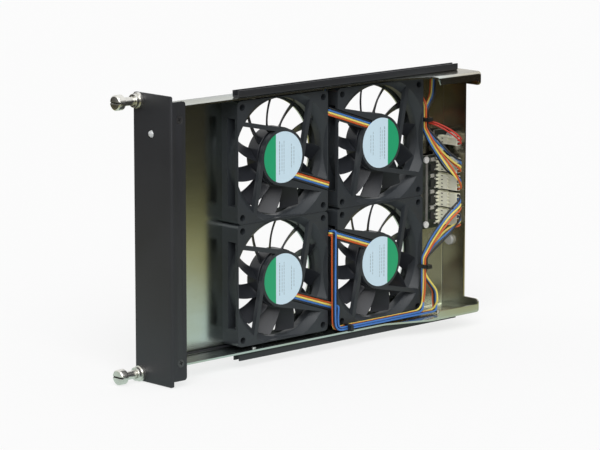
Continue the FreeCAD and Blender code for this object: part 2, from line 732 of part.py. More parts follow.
def fan_screws():
    """Pan-headed screws from outside the plate into the fans."""
    def screw(centre):
        shank = rod(Y, FAN_SCREW_R, FAR_Y - FAN_SCREW_L, FAR_Y, centre)
        return shank.fuse(rod(Y, FAN_HEAD_R, FAR_Y, FAR_Y + FAN_HEAD_H, centre))
    return Part.makeCompound(at_fan_holes(screw))


def spacer_places():
    """Centres of the board's spacers."""
    front = BOARD_FRONT + SPACER_INSET
    low = BOARD_BOTTOM + SPACER_INSET
    high = BOARD_TOP - SPACER_INSET
    between = (PLUG_ZS[0] + PLUG_PITCH / 2 + LED_PLUG_Z - PIN_PITCH - HEADER_WALL) / 2
    return [V(front, 0, low), V(front, 0, high), V(PLUG_X, 0, between)]


def circuit_board():
    """Board with a tab at the top for the indicator's plug."""
    tab = BOARD_REAR - BOARD_TAB_W
    tab_rear = WALL_IN - BOLT_HEAD_H - DOCK_GAP
    points = [V(x, BOARD_NEAR, z) for x, z in
              ((BOARD_FRONT, BOARD_BOTTOM), (BOARD_REAR, BOARD_BOTTOM),
               (BOARD_REAR, BOARD_TOP), (tab_rear, BOARD_TOP), (tab_rear, BOARD_TAB_TOP),
               (tab, BOARD_TAB_TOP), (tab, BOARD_TOP), (BOARD_FRONT, BOARD_TOP),
               (BOARD_FRONT, BOARD_BOTTOM))]
    board = Part.Face(Part.makePolygon(points)).extrude(Y * BOARD_T)
    holes = [rod(Y, BOARD_SCREW_R, BOARD_NEAR, BOARD_FAR, c) for c in spacer_places()]
    return board.cut(Part.makeCompound(holes))


def board_standoffs():
    """Spacers between the plate and the board."""
    spacers = [ring(Y, SPACER_R, BOARD_SCREW_R, BOARD_FAR, PLATE_Y, c) for c in spacer_places()]
    return Part.makeCompound(spacers)


def board_screws():
    """Screws with round heads on the board, through the spacers into the plate."""
    screws = []
    for centre in spacer_places():
        head = rod(Y, BOARD_HEAD_R, BOARD_NEAR - BOARD_HEAD_H, BOARD_NEAR, centre)
        screws.append(head.fuse(rod(Y, BOARD_SCREW_R, BOARD_NEAR, FAR_Y, centre)))
    return Part.makeCompound(screws)


def board_components():
    """Chips in a column between the spacers and the plugs."""
    long, tall, high = CHIP
    x0 = BOARD_FRONT + CHIP_COLUMN
    chips = []
    for k in range(CHIPS):
        z = (BOARD_TOP + BOARD_BOTTOM) / 2 + CHIP_PITCH * (k - (CHIPS - 1) / 2)
        chips.append(box(x0 - long / 2, x0 + long / 2, BOARD_NEAR - high, BOARD_NEAR,
                         z - tall / 2, z + tall / 2))
    return Part.makeCompound(chips)


def plug_places():
    """Centre height and number of pins of each plug."""
    return [(z, 4) for z in PLUG_ZS] + [(LED_PLUG_Z, 2)]


def board_headers():
    """Open-sided headers on the board, with a wall on the rear side."""
    headers = []
    for z, pins in plug_places():
        half = pins * PIN_PITCH / 2 + HEADER_WALL / 2
        x0 = PLUG_X - PLUG_W / 2
        foot = box(x0, x0 + PLUG_W, BOARD_NEAR - HEADER_WALL * 2, BOARD_NEAR, z - half, z + half)
        wall = box(x0 + PLUG_W - HEADER_WALL, x0 + PLUG_W, BOARD_NEAR - HEADER_H, BOARD_NEAR,
                   z - half, z + half)
        headers.append(foot.fuse(wall))
    return Part.makeCompound(headers)


def lead_plugs():
    """Plug bodies on the headers, with a groove for each contact."""
    plugs = []
    for z, pins in plug_places():
        half = pins * PIN_PITCH / 2
        x0 = PLUG_X - PLUG_W / 2
        x1 = PLUG_X + PLUG_W / 2 - HEADER_WALL
        plug = box(x0, x1, PLUG_TIP, BOARD_NEAR - HEADER_WALL * 2, z - half, z + half)
        step = box(x1, x1 + HEADER_WALL, PLUG_TIP, BOARD_NEAR - HEADER_H, z - half, z + half)
        plug = plug.fuse(step).removeSplitter()
        for k in range(pins):
            centre = z + PIN_PITCH * (k - (pins - 1) / 2)
            plug = plug.cut(box(x0, x0 + HEADER_WALL, PLUG_TIP + PLUG_H / 3,
                                PLUG_TIP + PLUG_H / 2, centre - PIN_PITCH / 4,
                                centre + PIN_PITCH / 4))
        plugs.append(plug)
    return Part.makeCompound(plugs)


def docking_connector():
    """Connector through the rear wall: block on the board, flange, shroud and contacts."""
    block = box(WALL_IN - DOCK_BLOCK_IN + DOCK_GAP, TRAY_L, BOARD_NEAR - DOCK_BLOCK_W, BOARD_NEAR,
                -DOCK_BLOCK_L / 2, DOCK_BLOCK_L / 2)
    end = DOCK_BOLT_Z + DOCK_FLANGE_END
    flange = [V(TRAY_L, y, z) for y, z in
              ((DOCK_Y - DOCK_FLANGE_W / 2, -end), (DOCK_Y + DOCK_FLANGE_W / 2, -end),
               (DOCK_Y + DOCK_FLANGE_W / 2, end), (DOCK_Y - DOCK_FLANGE_W / 2, end))]
    flange = rounded_plate(flange, DOCK_FLANGE_END, X * DOCK_FLANGE_T)
    start = TRAY_L + DOCK_FLANGE_T
    half = SHROUD_L / 2
    shroud = box(start, start + SHROUD_H, DOCK_Y - SHROUD_W / 2, DOCK_Y + SHROUD_W / 2, -half, half)
    inner = SHROUD_W / 2 - SHROUD_WALL
    shroud = shroud.cut(box(start, start + SHROUD_H, DOCK_Y - inner, DOCK_Y + inner,
                            -half + SHROUD_WALL, half - SHROUD_WALL))
    body = join([block, flange, shroud])
    for k in range(DOCK_CONTACTS):
        z = CONTACT_PITCH * (k - (DOCK_CONTACTS - 1) / 2)
        body = body.fuse(box(start, start + SHROUD_H - SHROUD_WALL, DOCK_Y - SHROUD_WALL / 2,
                             DOCK_Y + SHROUD_WALL / 2, z - SHROUD_WALL, z + SHROUD_WALL))
    for sign in (1, -1):
        body = body.cut(rod(X, BOLT_R, TRAY_L, start, V(0, DOCK_Y, sign * DOCK_BOLT_Z)))
    return body


def docking_bolts():
    """Bolts from inside the rear wall into the connector's flange."""
    bolts = []
    for sign in (1, -1):
        centre = V(0, DOCK_Y, sign * DOCK_BOLT_Z)
        head = rod(X, BOLT_HEAD_R, WALL_IN - BOLT_HEAD_H, WALL_IN, centre)
        bolts.append(head.fuse(rod(X, BOLT_R, WALL_IN, TRAY_L + DOCK_FLANGE_T, centre)))
    return Part.makeCompound(bolts)


def led_lens():
    """Indicator with a round nose through the panel."""
    centre = V(0, LED_Y, LED_Z)
    nose = Part.makeSphere(LED_R, V(-PANEL_T - LED_PROUD + LED_R, LED_Y, LED_Z))
    front = -PANEL_T - LED_PROUD
    body = rod(X, LED_R, front + LED_R, LED_BODY, centre)
    return body.fuse(nose.common(rod(X, LED_R, front, front + LED_R, centre))).removeSplitter()


def led_holder():
    """Clip ring that holds the indicator behind the panel."""
    centre = V(0, LED_Y, LED_Z)
    return ring(X, LED_R + HOLDER_WALL, LED_R, 0, HOLDER_L, centre)


def captive(make, sign):
    """A captive screw's piece at the upper or lower corner of the panel."""
    shape = make()
    shape.translate(V(0, FERRULE_Y, FERRULE_Z))
    return shape if sign > 0 else shape.mirror(V(0, 0, 0), Z)


def ferrule():
    """Stepped head in front of the panel and a sleeve behind it that holds the spring."""
    front = -PANEL_T - FERRULE_H
    step = -PANEL_T - FERRULE_H / 2
    head = rod(X, FERRULE_R, step, -PANEL_T).fuse(rod(X, FERRULE_R - FERRULE_STEP, front, step))
    body = join([head, rod(X, SLEEVE_R, -PANEL_T, SLEEVE_L)])
    body = body.cut(rod(X, NECK_R + SLIDE_GAP, front, SLEEVE_L - SLEEVE_END))
    return body.cut(rod(X, SHANK_R + SLIDE_GAP, front, SLEEVE_L))


def spring():
    """Coil of square wire round the shank, between the sleeve's end and the neck."""
    start = -PANEL_T - FERRULE_H + NECK_INSIDE
    length = SLEEVE_L - SLEEVE_END - start
    radius = (SHANK_R + NECK_R) / 2 + SLIDE_GAP
    rise = length - SPRING_WIRE
    path = Part.makeHelix(rise / SPRING_TURNS, rise, radius)
    half = SPRING_WIRE / 2
    section = [V(radius - half, 0, -half), V(radius + half, 0, -half),
               V(radius + half, 0, half), V(radius - half, 0, half)]
    section = Part.makePolygon(section + section[:1])
    coil = Part.Wire(path.Edges).makePipeShell([section], True, True)
    coil.rotate(V(0, 0, 0), Y, 90)
    coil.translate(X * (start + SPRING_WIRE / 2))
    return coil


def thumbscrew():
    """Slotted knob, neck, shank and the stop ring behind the sleeve."""
    ferrule_front = -PANEL_T - FERRULE_H
    knob_rear = ferrule_front - NECK_SHOWN
    face = knob_rear - KNOB_L
    knob = rod(X, KNOB_R, face, knob_rear)
    rims = [e for e in knob.Edges if e.Curve.TypeId == "Part::GeomCircle"]
    knob = knob.makeChamfer(KNOB_EDGE, rims)
    knob = knob.cut(box(face, face + SLOT_DEPTH, -KNOB_R, KNOB_R, -SLOT_W / 2, SLOT_W / 2))
    neck = rod(X, NECK_R, knob_rear, ferrule_front + NECK_INSIDE)
    shank = rod(X, SHANK_R, ferrule_front, SLEEVE_L + SHANK_TIP)
    stop = rod(X, STOP_R, SLEEVE_L + STOP_GAP, SLEEVE_L + STOP_GAP + STOP_T)
    return join([knob, neck, shank, stop])


def ribbon(points, radii, across, width, thickness, twist=None):
    """A flat lead along a path of runs and arcs, carried round each bend.

    In the run numbered twist it turns about itself, until its width lies along Y.
    """
    side = across * (width / 2)
    pieces = []
    start = points[0]
    for run, (corner, after, radius) in enumerate(zip(points[1:], points[2:] + [None], radii + [0])):
        into = (corner - points[run]).normalize()
        side = (side - into * side.dot(into)).normalize() * (width / 2)
        face = into.cross(side).normalize() * (thickness / 2)
        last = corner
        if after is not None:
            out = (after - corner).normalize()
            half = into.getAngle(out) / 2
            last = corner - into * (radius * math.tan(half))
        section = cross_section(start, side, face)
        if run == twist:
            side = Y * math.copysign(width / 2, side.y)
            face = into.cross(side).normalize() * (thickness / 2)
            pieces.append(Part.makeLoft([section, cross_section(last, side, face)], True))
        else:
            pieces.append(Part.Face(section).extrude(last - start))
        if after is None:
            break
        section = Part.Face(cross_section(last, side, face))
        axis = into.cross(out).normalize()
        inwards = axis.cross(into)
        centre = last + inwards * radius
        pieces.append(section.revolve(centre, axis, math.degrees(2 * half)))
        turn = FreeCAD.Rotation(axis, math.degrees(2 * half))
        side = turn.multVec(side)
        start = corner + out * (radius * math.tan(half))
    return join(pieces)


def cross_section(centre, side, face):
    """Outline of a flat lead, from half its width and half its thickness."""
    corners = [centre + side + face, centre - side + face, centre - side - face, centre + side - face]
    return Part.makePolygon(corners + corners[:1])


def easy_radii(points):
    """Bend radii for a route, each as large as its two runs allow. The last run has one bend only."""
    runs = [(last - first).Length for first, last in zip(points, points[1:])]
    runs[-1] *= 2
    radii = []
    for k, corner in enumerate(points[1:-1]):
        half = (corner - points[k]).getAngle(points[k + 2] - corner) / 2
        radii.append(RUN_SHARE * min(runs[k], runs[k + 1]) / math.tan(half))
    return radii


def fan_lead(number, gap_x, run_y, layer, turn_r, route):
    """A fan's lead: along its wire strut, between the columns, then by its own route to a plug.

    It folds at gap_x into or out of the gap, goes up or down at depth run_y on its edge, and
    turns to the rear at height layer.
    """
    centre, turn = fan_places()[number - 1]
    sign = 1 if turn == 0 else -1
    point, along = wire_line()
    along = along * sign
    start = centre + point * sign + along * LEAD_FIRST
    start.y = LEAD_Y
    corner = start + along * abs((gap_x - start.x) / along.x)
    swing = min(abs(run_y - LEAD_Y) - FOLD_R - FOLD_GAP, SWING_R)
    points = [start, corner, V(gap_x, run_y, corner.z), V(gap_x, run_y, layer)]
    bends = [FOLD_R, swing, turn_r] + easy_radii(points[-1:] + route)
    return ribbon(points + route, bends, V(along.z, 0, -along.x), LEAD_W, WIRE_D, 2)


def hang(tie, z):
    """The end of a lead, from below or above its tie to the plug at height z."""
    turn = V(PLUG_X, PLUG_TURN_Y, z)
    way = turn - tie
    points = [tie + V(way.x * x, way.y * y, way.z * up) for x, y, up in HANG]
    return [tie] + points + [turn, plug_entry(z)]


def upper_leads():
    """Leads of the upper fans, over the fans to the tie and down to the upper plugs."""
    x1 = UPPER_TIE_X
    x2 = UPPER_TIE_X + LEAD_LAYER
    y = UPPER_TIE_Y
    below = UPPER_TIE_Z - TIE_STRAIGHT
    back = LAST_EDGE + 12.5
    first = [V(x1, UPPER_RUN_1, TOP_Z), V(x1, UPPER_RUN_1, TOP_Z - 9.0), V(x1, y, UPPER_TIE_Z + 9.7)]
    second = [V(COLUMNS[1] - FAN / 4, UPPER_RUN_2, TOP_Z), V(COLUMNS[1] + FAN / 4, y, TOP_Z),
              V(back, y, TOP_Z), V(back - 1.0, y, TOP_Z - 14.0), V(x2, y, UPPER_TIE_Z + 6.2)]
    first += hang(V(x1, y, below), PLUG_ZS[1])
    second += hang(V(x2, y, below), PLUG_ZS[0])
    return {"fan_lead_1": fan_lead(1, GAP_X, UPPER_RUN_1, TOP_Z, TURN_R, first),
            "fan_lead_2": fan_lead(2, GAP_X, UPPER_RUN_2, TOP_Z, TURN_R, second)}


def lower_leads():
    """Leads of the lower fans, along the lower flange to the tie and up to the lower plugs."""
    x3 = LOWER_TIE_X
    x4 = LOWER_TIE_X + LEAD_LAYER
    y = FLOOR_LEAD_Y
    above = LOWER_TIE_Z + TIE_STRAIGHT
    back = LAST_EDGE + 9.0
    third = [V(x3, y, LAYER_2)] + hang(V(x3, y, above), PLUG_ZS[2])
    fourth = [V(back, y, LAYER_1), V(back - 0.5, y, LAYER_1 + 14.0), V(x4, y, LOWER_TIE_Z - 7.3)]
    fourth += hang(V(x4, y, above), PLUG_ZS[3])
    return {"fan_lead_3": fan_lead(3, GAP_X + GAP_STEP, y, LAYER_2, INNER_TURN_R, third),
            "fan_lead_4": fan_lead(4, GAP_X, y, LAYER_1, TURN_R, fourth)}


def led_lead():
    """Two thin wires from the indicator, under the fans to the rear, then up to their plug."""
    points = [V(LED_BODY, LED_Y, LED_Z), V(LED_DROP_X, LED_Y, LED_Z), V(LED_DROP_X, LED_Y, LED_Z - 16.9),
              V(LED_DROP_X, LED_LEAD_Y, LED_Z - 36.9), V(LED_DROP_X, LED_LEAD_Y, -TOP_Z),
              V(LED_RISE_X, LED_LEAD_Y, -TOP_Z), V(LED_RISE_X, LED_LEAD_Y, LED_PLUG_Z + 9.5),
              V(LED_RISE_X + 3.6, LED_LEAD_Y - 9.2, LED_PLUG_Z + 15.5),
              V(PLUG_X - 8.7, PLUG_TURN_Y + 3.7, LED_PLUG_Z + 8.5),
              V(PLUG_X, PLUG_TURN_Y, LED_PLUG_Z), plug_entry(LED_PLUG_Z)]
    bends = [min(radius, LED_BEND) for radius in easy_radii(points)]
    return ribbon(points, bends, Y, 2 * LED_WIRE_D, LED_WIRE_D)


def plug_entry(z):
    """Point where a lead goes into its plug."""
    return V(PLUG_X, PLUG_TIP, z)


def cable_ties():
    """Ties on the lower flange and at the two turns behind the fans."""
    flat = LEAD_W + 2 * TIE_GAP
    pair = WIRE_D + LEAD_LAYER + 2 * TIE_GAP
    upper = tie_band(Z, V(UPPER_TIE_X + LEAD_LAYER / 2, UPPER_TIE_Y, UPPER_TIE_Z), X, pair, flat)
    lower = tie_band(Z, V(LOWER_TIE_X + LEAD_LAYER / 2, FLOOR_LEAD_Y, LOWER_TIE_Z), X, pair, flat)
    floor = tie_band(X, V(FLOOR_TIE_X, FLOOR_LEAD_Y, (LAYER_1 + LAYER_2) / 2), Z, pair, flat)
    return Part.makeCompound([upper, lower, floor])


def tie_band(axis, centre, stack, pair, flat):
    """A band round two stacked leads that run along axis, with its head on the near side."""
    half = axis * (TIE_W / 2)
    rings = []
    for grow in (TIE_T, 0):
        up = stack * (pair / 2 + grow)
        side = Y * (flat / 2 + grow)
        corners = [centre - half + up + side, centre - half + up - side,
                   centre - half - up - side, centre - half - up + side]
        rings.append(Part.Face(Part.makePolygon(corners + corners[:1])).extrude(half * 2))
    band = rings[0].cut(rings[1])
    out = Y * -(flat / 2 + TIE_T)
    up = stack * (TIE_HEAD / 2)
    corners = [centre - half + out + up, centre - half + out - up]
    corners += [corners[1] - Y * TIE_HEAD_H, corners[0] - Y * TIE_HEAD_H]
    head = Part.Face(Part.makePolygon(corners + corners[:1])).extrude(half * 2)
    return join([band, head])


NODES = {
    "front_panel": front_panel,
    "panel_screws": panel_screws,
    "panel_nuts": panel_nuts,
    "tray": tray,
    "upper_rail": lambda: rail(1),
    "lower_rail": lambda: rail(-1),
    "rail_rivets": rail_rivets,
    "fan_screws": fan_screws,
    "circuit_board": circuit_board,
    "board_standoffs": board_standoffs,
    "board_screws": board_screws,
    "board_components": board_components,
    "board_headers": board_headers,
    "lead_plugs": lead_plugs,
    "docking_connector": docking_connector,
    "docking_bolts": docking_bolts,
    "led_lens": led_lens,
    "led_holder": led_holder,
    "led_lead": led_lead,
    "cable_ties": cable_ties,
}


def main():
    """Write every piece to its own file."""
    os.makedirs("parts", exist_ok=True)
    shapes = {name: make() for name, make in NODES.items()}
    shapes.update(upper_leads())
    shapes.update(lower_leads())
    for name, sign in (("upper", 1), ("lower", -1)):
        shapes["ferrule_" + name] = captive(ferrule, sign)
        shapes["spring_" + name] = captive(spring, sign)
        shapes["thumbscrew_" + name] = captive(thumbscrew, sign)
    fan_pieces = {"fan_frame": fan_frame(), "stator": stator(), "bearings": bearings(),
                  "impeller": impeller(), "rotor_cup": rotor_cup(), "magnet": magnet(),
                  "shaft": shaft()}
    for number, place in enumerate(fan_places(), 1):
        for name, shape in fan_pieces.items():
            shapes[f"{name}_{number}"] = placed(shape, place)
    labels = [placed(fan_label(), place) for place in fan_places()]
    boards = [placed(driver_board(), place) for place in fan_places()]
    shapes["fan_labels"] = Part.makeCompound(labels)
    shapes["driver_boards"] = Part.makeCompound(boards)
    for name, shape in shapes.items():
        shape.exportStep(f"parts/{name}.step")


main()
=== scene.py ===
"""Looks of a plug-in rack fan module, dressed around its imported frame."""
import json
import logging
import math
from collections.abc import Iterator
from contextlib import contextmanager
from dataclasses import dataclass
from enum import Enum
from functools import cache

import bmesh
import bpy
import numpy as np
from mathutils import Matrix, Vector

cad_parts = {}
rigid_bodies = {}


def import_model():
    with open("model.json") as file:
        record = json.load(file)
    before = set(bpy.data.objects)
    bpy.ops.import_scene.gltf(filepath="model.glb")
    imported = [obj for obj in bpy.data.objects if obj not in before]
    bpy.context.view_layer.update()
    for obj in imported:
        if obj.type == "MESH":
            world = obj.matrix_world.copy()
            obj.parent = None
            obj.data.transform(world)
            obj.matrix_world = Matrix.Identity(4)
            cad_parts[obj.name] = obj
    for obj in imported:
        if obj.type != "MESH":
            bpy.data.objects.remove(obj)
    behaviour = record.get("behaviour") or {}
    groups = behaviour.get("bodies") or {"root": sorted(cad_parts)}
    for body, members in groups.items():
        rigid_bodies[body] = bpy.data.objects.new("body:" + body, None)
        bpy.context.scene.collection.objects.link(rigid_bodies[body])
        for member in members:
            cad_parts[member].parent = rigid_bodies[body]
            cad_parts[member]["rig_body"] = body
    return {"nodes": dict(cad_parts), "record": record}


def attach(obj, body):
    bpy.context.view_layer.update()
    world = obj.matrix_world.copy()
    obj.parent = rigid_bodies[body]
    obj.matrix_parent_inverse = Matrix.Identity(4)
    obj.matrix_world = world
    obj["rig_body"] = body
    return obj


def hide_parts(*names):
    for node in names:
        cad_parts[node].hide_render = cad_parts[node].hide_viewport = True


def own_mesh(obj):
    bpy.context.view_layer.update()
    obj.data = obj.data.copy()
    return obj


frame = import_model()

LOG = logging.getLogger("fan_module")
MM = 0.001
Colour = tuple[float, float, float]
Point = tuple[float, float, float]
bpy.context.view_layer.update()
MODULE = "module"
WHITE = (1.0, 1.0, 1.0)


class Sock:
    """A shader value that adds Math nodes when it stands in an expression."""

    def __init__(self, shader: "Tree", socket: bpy.types.NodeSocket) -> None:
        """Keep the socket and the shader that it belongs to."""
        self.shader = shader
        self.socket = socket

    def math(self, operation: str, first: "Sock | float", second: "Sock | float" = 0.0) -> "Sock":
        """Add one Math node and return its value."""
        return self.shader.node("ShaderNodeMath", {"operation": operation}, {0: first, 1: second})

    def __add__(self, other: "Sock | float") -> "Sock":
        """Sum of two values."""
        return self.math("ADD", self, other)

    def __radd__(self, other: float) -> "Sock":
        """Sum with a number on the left."""
        return self.math("ADD", other, self)

    def __sub__(self, other: "Sock | float") -> "Sock":
        """Difference of two values."""
        return self.math("SUBTRACT", self, other)

    def __rsub__(self, other: float) -> "Sock":
        """Difference from a number on the left."""
        return self.math("SUBTRACT", other, self)

    def __mul__(self, other: "Sock | float") -> "Sock":
        """Product of two values."""
        return self.math("MULTIPLY", self, other)

    def __rmul__(self, other: float) -> "Sock":
        """Product with a number on the left."""
        return self.math("MULTIPLY", other, self)

    def __gt__(self, other: "Sock | float") -> "Sock":
        """One where this value is the larger, and nought elsewhere."""
        return self.math("GREATER_THAN", self, other)

    def __lt__(self, other: "Sock | float") -> "Sock":
        """One where this value is the smaller, and nought elsewhere."""
        return self.math("LESS_THAN", self, other)

    def size(self) -> "Sock":
        """Absolute value."""
        return self.math("ABSOLUTE", self)

    def repeat(self, length: float) -> "Sock":
        """Remainder from nought to a length."""
        return self.math("FLOORED_MODULO", self, length)

    def rise(self, low: float, high: float) -> "Sock":
        """Smooth step from nought at low to one at high."""
        return self.shader.node("ShaderNodeMapRange", {"interpolation_type": "SMOOTHSTEP"},
                                {"Value": self, "From Min": low, "From Max": high})


class Tree:
    """A node tree with one way to add any node."""

    def __init__(self, tree: bpy.types.NodeTree, place: str) -> None:
        """Empty the tree and find its coordinates.

        Args:
            tree: The node tree.
            place: The kind of coordinates.
        """
        self.tree = tree
        self.tree.nodes.clear()
        self.place = self.node("ShaderNodeTexCoord", {}, {}, place)

    def node(self, kind: str, settings: dict[str, object], inputs: dict[str | int, object],
             output: str | int | None = 0) -> Sock | None:
        """Add any node.

        Args:
            kind: The node's type.
            settings: The node's own settings, set first.
            inputs: Values or links of its sockets, by name or number.
            output: The wanted output, by name or number, or None for an end node.

        Returns:
            That output, or None.
        """
        node = self.tree.nodes.new(kind)
        for name, value in settings.items():
            setattr(node, name, value)
        for name, value in inputs.items():
            self.feed(node.inputs[name], value)
        return None if output is None else Sock(self, node.outputs[output])

    def feed(self, socket: bpy.types.NodeSocket, value: object) -> None:
        """Link or set one input socket.

        Args:
            socket: The input.
            value: A value of this tree to link, or a number, vector or colour to set.
        """
        if isinstance(value, Sock):
            self.tree.links.new(value.socket, socket)
        elif isinstance(value, tuple) and socket.type == "RGBA":
            socket.default_value = (*value, 1.0)
        else:
            socket.default_value = value

    def mix(self, factor: Sock | float, first: Sock | Colour, second: Sock | Colour) -> Sock:
        """Colour between two colours."""
        return self.node("ShaderNodeMix", {"data_type": "RGBA"}, {0: factor, 6: first, 7: second}, 2)


class Backdrop(Tree):
    """Node tree of the floor or the world, which can tell the rays apart."""

    def __init__(self, tree: bpy.types.NodeTree) -> None:
        """Start with the object's coordinates, which in a world are the view's directions."""
        super().__init__(tree, "Object")

    def ray(self, kind: str) -> Sock:
        """One for rays of a kind, and nought for others."""
        return self.node("ShaderNodeLightPath", {}, {}, kind)

    def seen(self, shown: float) -> Sock:
        """A stated share for rays of the camera, and one for those of reflections and clear pieces."""
        share = self.ray("Is Camera Ray") * shown + self.ray("Is Glossy Ray")
        return share + self.ray("Is Transmission Ray")


class Shader(Tree):
    """Node tree of one material, with a Principled shader."""

    def __init__(self, name: str) -> None:
        """Start a tree with the object's own coordinates.

        Args:
            name: Name of the material.
        """
        self.material = bpy.data.materials.new(name)
        self.material.use_nodes = True
        super().__init__(self.material.node_tree, "Object")
        self.surface = self.tree.nodes.new("ShaderNodeBsdfPrincipled")
        self.node("ShaderNodeOutputMaterial", {}, {0: Sock(self, self.surface.outputs[0])}, None)

    def set(self, **values: object) -> None:
        """Set or link sockets of the Principled shader, with _ for a space in a name."""
        for name, value in values.items():
            self.feed(self.surface.inputs[name.replace("_", " ")], value)

    def axes(self) -> tuple[Sock, Sock, Sock]:
        """Split the object's coordinates.

        Returns:
            Its x, y and z, in metres.
        """
        node = self.tree.nodes.new("ShaderNodeSeparateXYZ")
        self.tree.links.new(self.place.socket, node.inputs[0])
        return tuple(Sock(self, output) for output in node.outputs)

    def stretched(self, scale: Point) -> Sock:
        """Coordinates multiplied by a scale for each axis."""
        return self.node("ShaderNodeVectorMath", {"operation": "MULTIPLY"}, {0: self.place, 1: scale})

    def vector(self, x: Sock | float, y: Sock | float, z: Sock | float) -> Sock:
        """Three values as one vector."""
        return self.node("ShaderNodeCombineXYZ", {}, {0: x, 1: y, 2: z})

    def noise(self, scale: float, detail: float = 2.0, at: Sock | None = None) -> Sock:
        """Noise from nought to one, with features of about one over the scale."""
        return self.node("ShaderNodeTexNoise", {},
                         {"Vector": at or self.place, "Scale": scale, "Detail": detail})

    def bump(self, height: Sock, distance: float) -> None:
        """Raise the surface by a height times a distance in metres."""
        self.set(Normal=self.node("ShaderNodeBump", {},
                                  {"Strength": 1.0, "Distance": distance, "Height": height}))


def shade(colour: Colour, factor: float) -> Colour:
    """A colour made darker or lighter by a factor."""
    return tuple(min(1.0, part * factor) for part in colour)


@dataclass(frozen=True)
class Finish:
    """What every finish states: its name, colour, roughness and whether it is metal."""

    name: str
    colour: Colour
    roughness: float
    metallic: float = 0.0

    @cache
    def material(self) -> bpy.types.Material:
        """Make the finish's material, once.

        Returns:
            The material.
        """
        shader = Shader(self.name)
        shader.set(Metallic=self.metallic, Roughness=self.roughness)
        self.paint(shader)
        return shader.material

    def paint(self, shader: Shader) -> None:
        """Give the shader its changing values."""
        raise NotImplementedError

    def tones(self, shader: Shader, factor: Sock, first: float, second: float) -> Sock:
        """Colour between two tones of the finish's own."""
        return shader.mix(factor, shade(self.colour, first), shade(self.colour, second))

    def uneven(self, *parts: tuple[Sock, float]) -> Sock:
        """Roughness that each noise shifts about its middle by its share."""
        return sum((share * (noise - 0.5) for noise, share in parts), self.roughness)


@dataclass(frozen=True)
class PlatedSheet(Finish):
    """Bright plated sheet with a rolling grain along x, a faint cast in clouds and a painted
    reflection, a darker warm tint, behind the fans.
    """

    cast: Colour = (0.59, 0.60, 0.48)
    # Painted reflection: the darker warm tint behind the fans, and where it starts and ends along x and
    # z.
    rear_reflection: Colour = (0.54, 0.50, 0.41)
    rear_reflection_x: tuple[float, float] = (228.0, 262.0)
    rear_reflection_z: tuple[float, float] = (-82.0, -70.0)
    grain: Point = (60.0, 2600.0, 2600.0)
    cloud: float = 16.0

    def paint(self, shader: Shader) -> None:
        """Clouds tint the metal, and a painted reflection turns it darker and warmer behind the fans;
        fine lines along x roughen it.

        Args:
            shader: The material to fill in.
        """
        x, _, z = shader.axes()
        grain = shader.noise(1.0, 3.0, shader.stretched(self.grain))
        clouds = shader.noise(self.cloud, 4.0)
        # Painted reflection: behind the fans and above the lower flange the sheet takes the darker warm
        # tint.
        behind = (x.rise(self.rear_reflection_x[0] * MM, self.rear_reflection_x[1] * MM)
                  * z.rise(self.rear_reflection_z[0] * MM, self.rear_reflection_z[1] * MM))
        plating = shader.mix(clouds.rise(0.35, 0.75), self.colour, self.cast)
        shader.set(Base_Color=shader.mix(behind * (0.75 + 0.25 * clouds), plating, self.rear_reflection))
        shader.set(Roughness=self.uneven((grain, 0.10), (clouds, 0.08)))
        shader.bump(grain, 0.004 * MM)


@dataclass(frozen=True)
class SatinPaint(Finish):
    """Sprayed satin paint with a fine peel and a dusting of lighter specks."""

    peel: float = 1300.0
    cloud: float = 25.0
    speck: float = 4200.0

    def paint(self, shader: Shader) -> None:
        """Peel lifts the surface; broad clouds shift its shade and gloss.

        Args:
            shader: The material to fill in.
        """
        peel = shader.noise(self.peel, 3.0)
        clouds = shader.noise(self.cloud, 3.0)
        specks = shader.noise(self.speck, 1.0).rise(0.70, 0.78)
        base = self.tones(shader, clouds, 0.85, 1.2)
        shader.set(Base_Color=shader.mix(specks * 0.35, base, shade(self.colour, 3.0)))
        shader.set(Roughness=self.uneven((clouds, 0.12), (peel, 0.10)))
        shader.bump(peel, 0.018 * MM)


@dataclass(frozen=True)
class MouldedPlastic(Finish):
    """Moulded plastic with a spark-eroded skin and slow changes of gloss."""

    skin: float = 2600.0
    depth: float = 0.008
    gloss: float = 0.5
    flow: float = 60.0

    def paint(self, shader: Shader) -> None:
        """Fine skin lifts the surface; flow clouds change shade and gloss.

        Args:
            shader: The material to fill in.
        """
        shader.set(Specular_IOR_Level=self.gloss)
        skin = shader.noise(self.skin, 2.0)
        flow = shader.noise(self.flow, 3.0, shader.stretched((1.0, 1.0, 0.4)))
        shader.set(Base_Color=self.tones(shader, flow, 0.85, 1.15))
        shader.set(Roughness=self.uneven((flow, 0.14), (skin, 0.08)))
        shader.bump(skin, self.depth * MM)


@dataclass(frozen=True)
class TurnedMetal(Finish):
    """Turned and plated metal with rings round the axis of a captive screw."""

    centre_y: float = 12.6
    centre_z: float = 87.0
    ring: float = 5200.0
    stain: float = 220.0

    def paint(self, shader: Shader) -> None:
        """Rings follow the distance from the axis and the place along it.

        Args:
            shader: The material to fill in.
        """
        x, y, z = shader.axes()
        off = y - self.centre_y * MM
        up = z.size() - self.centre_z * MM
        spread = off * off + up * up
        radius = spread.math("SQRT", spread)
        rings = shader.noise(1.0, 2.0, shader.vector(x * self.ring, radius * self.ring, 0.0))
        stain = shader.noise(self.stain, 3.0)
        shader.set(Base_Color=self.tones(shader, stain.rise(0.4, 0.8), 1.0, 0.78))
        shader.set(Roughness=self.uneven((rings, 0.16), (stain, 0.08)))
        shader.bump(rings, 0.006 * MM)


@dataclass(frozen=True)
class PlainMetal(Finish):
    """Small plated or drawn metal pieces with fine handling marks."""

    marks: float = 900.0

    def paint(self, shader: Shader) -> None:
        """Marks in noise change shade and gloss.

        Args:
            shader: The material to fill in.
        """
        marks = shader.noise(self.marks, 4.0)
        shader.set(Base_Color=self.tones(shader, marks.rise(0.3, 0.8), 1.0, 0.8))
        shader.set(Roughness=self.uneven((marks, 0.18)))
        shader.bump(marks, 0.004 * MM)


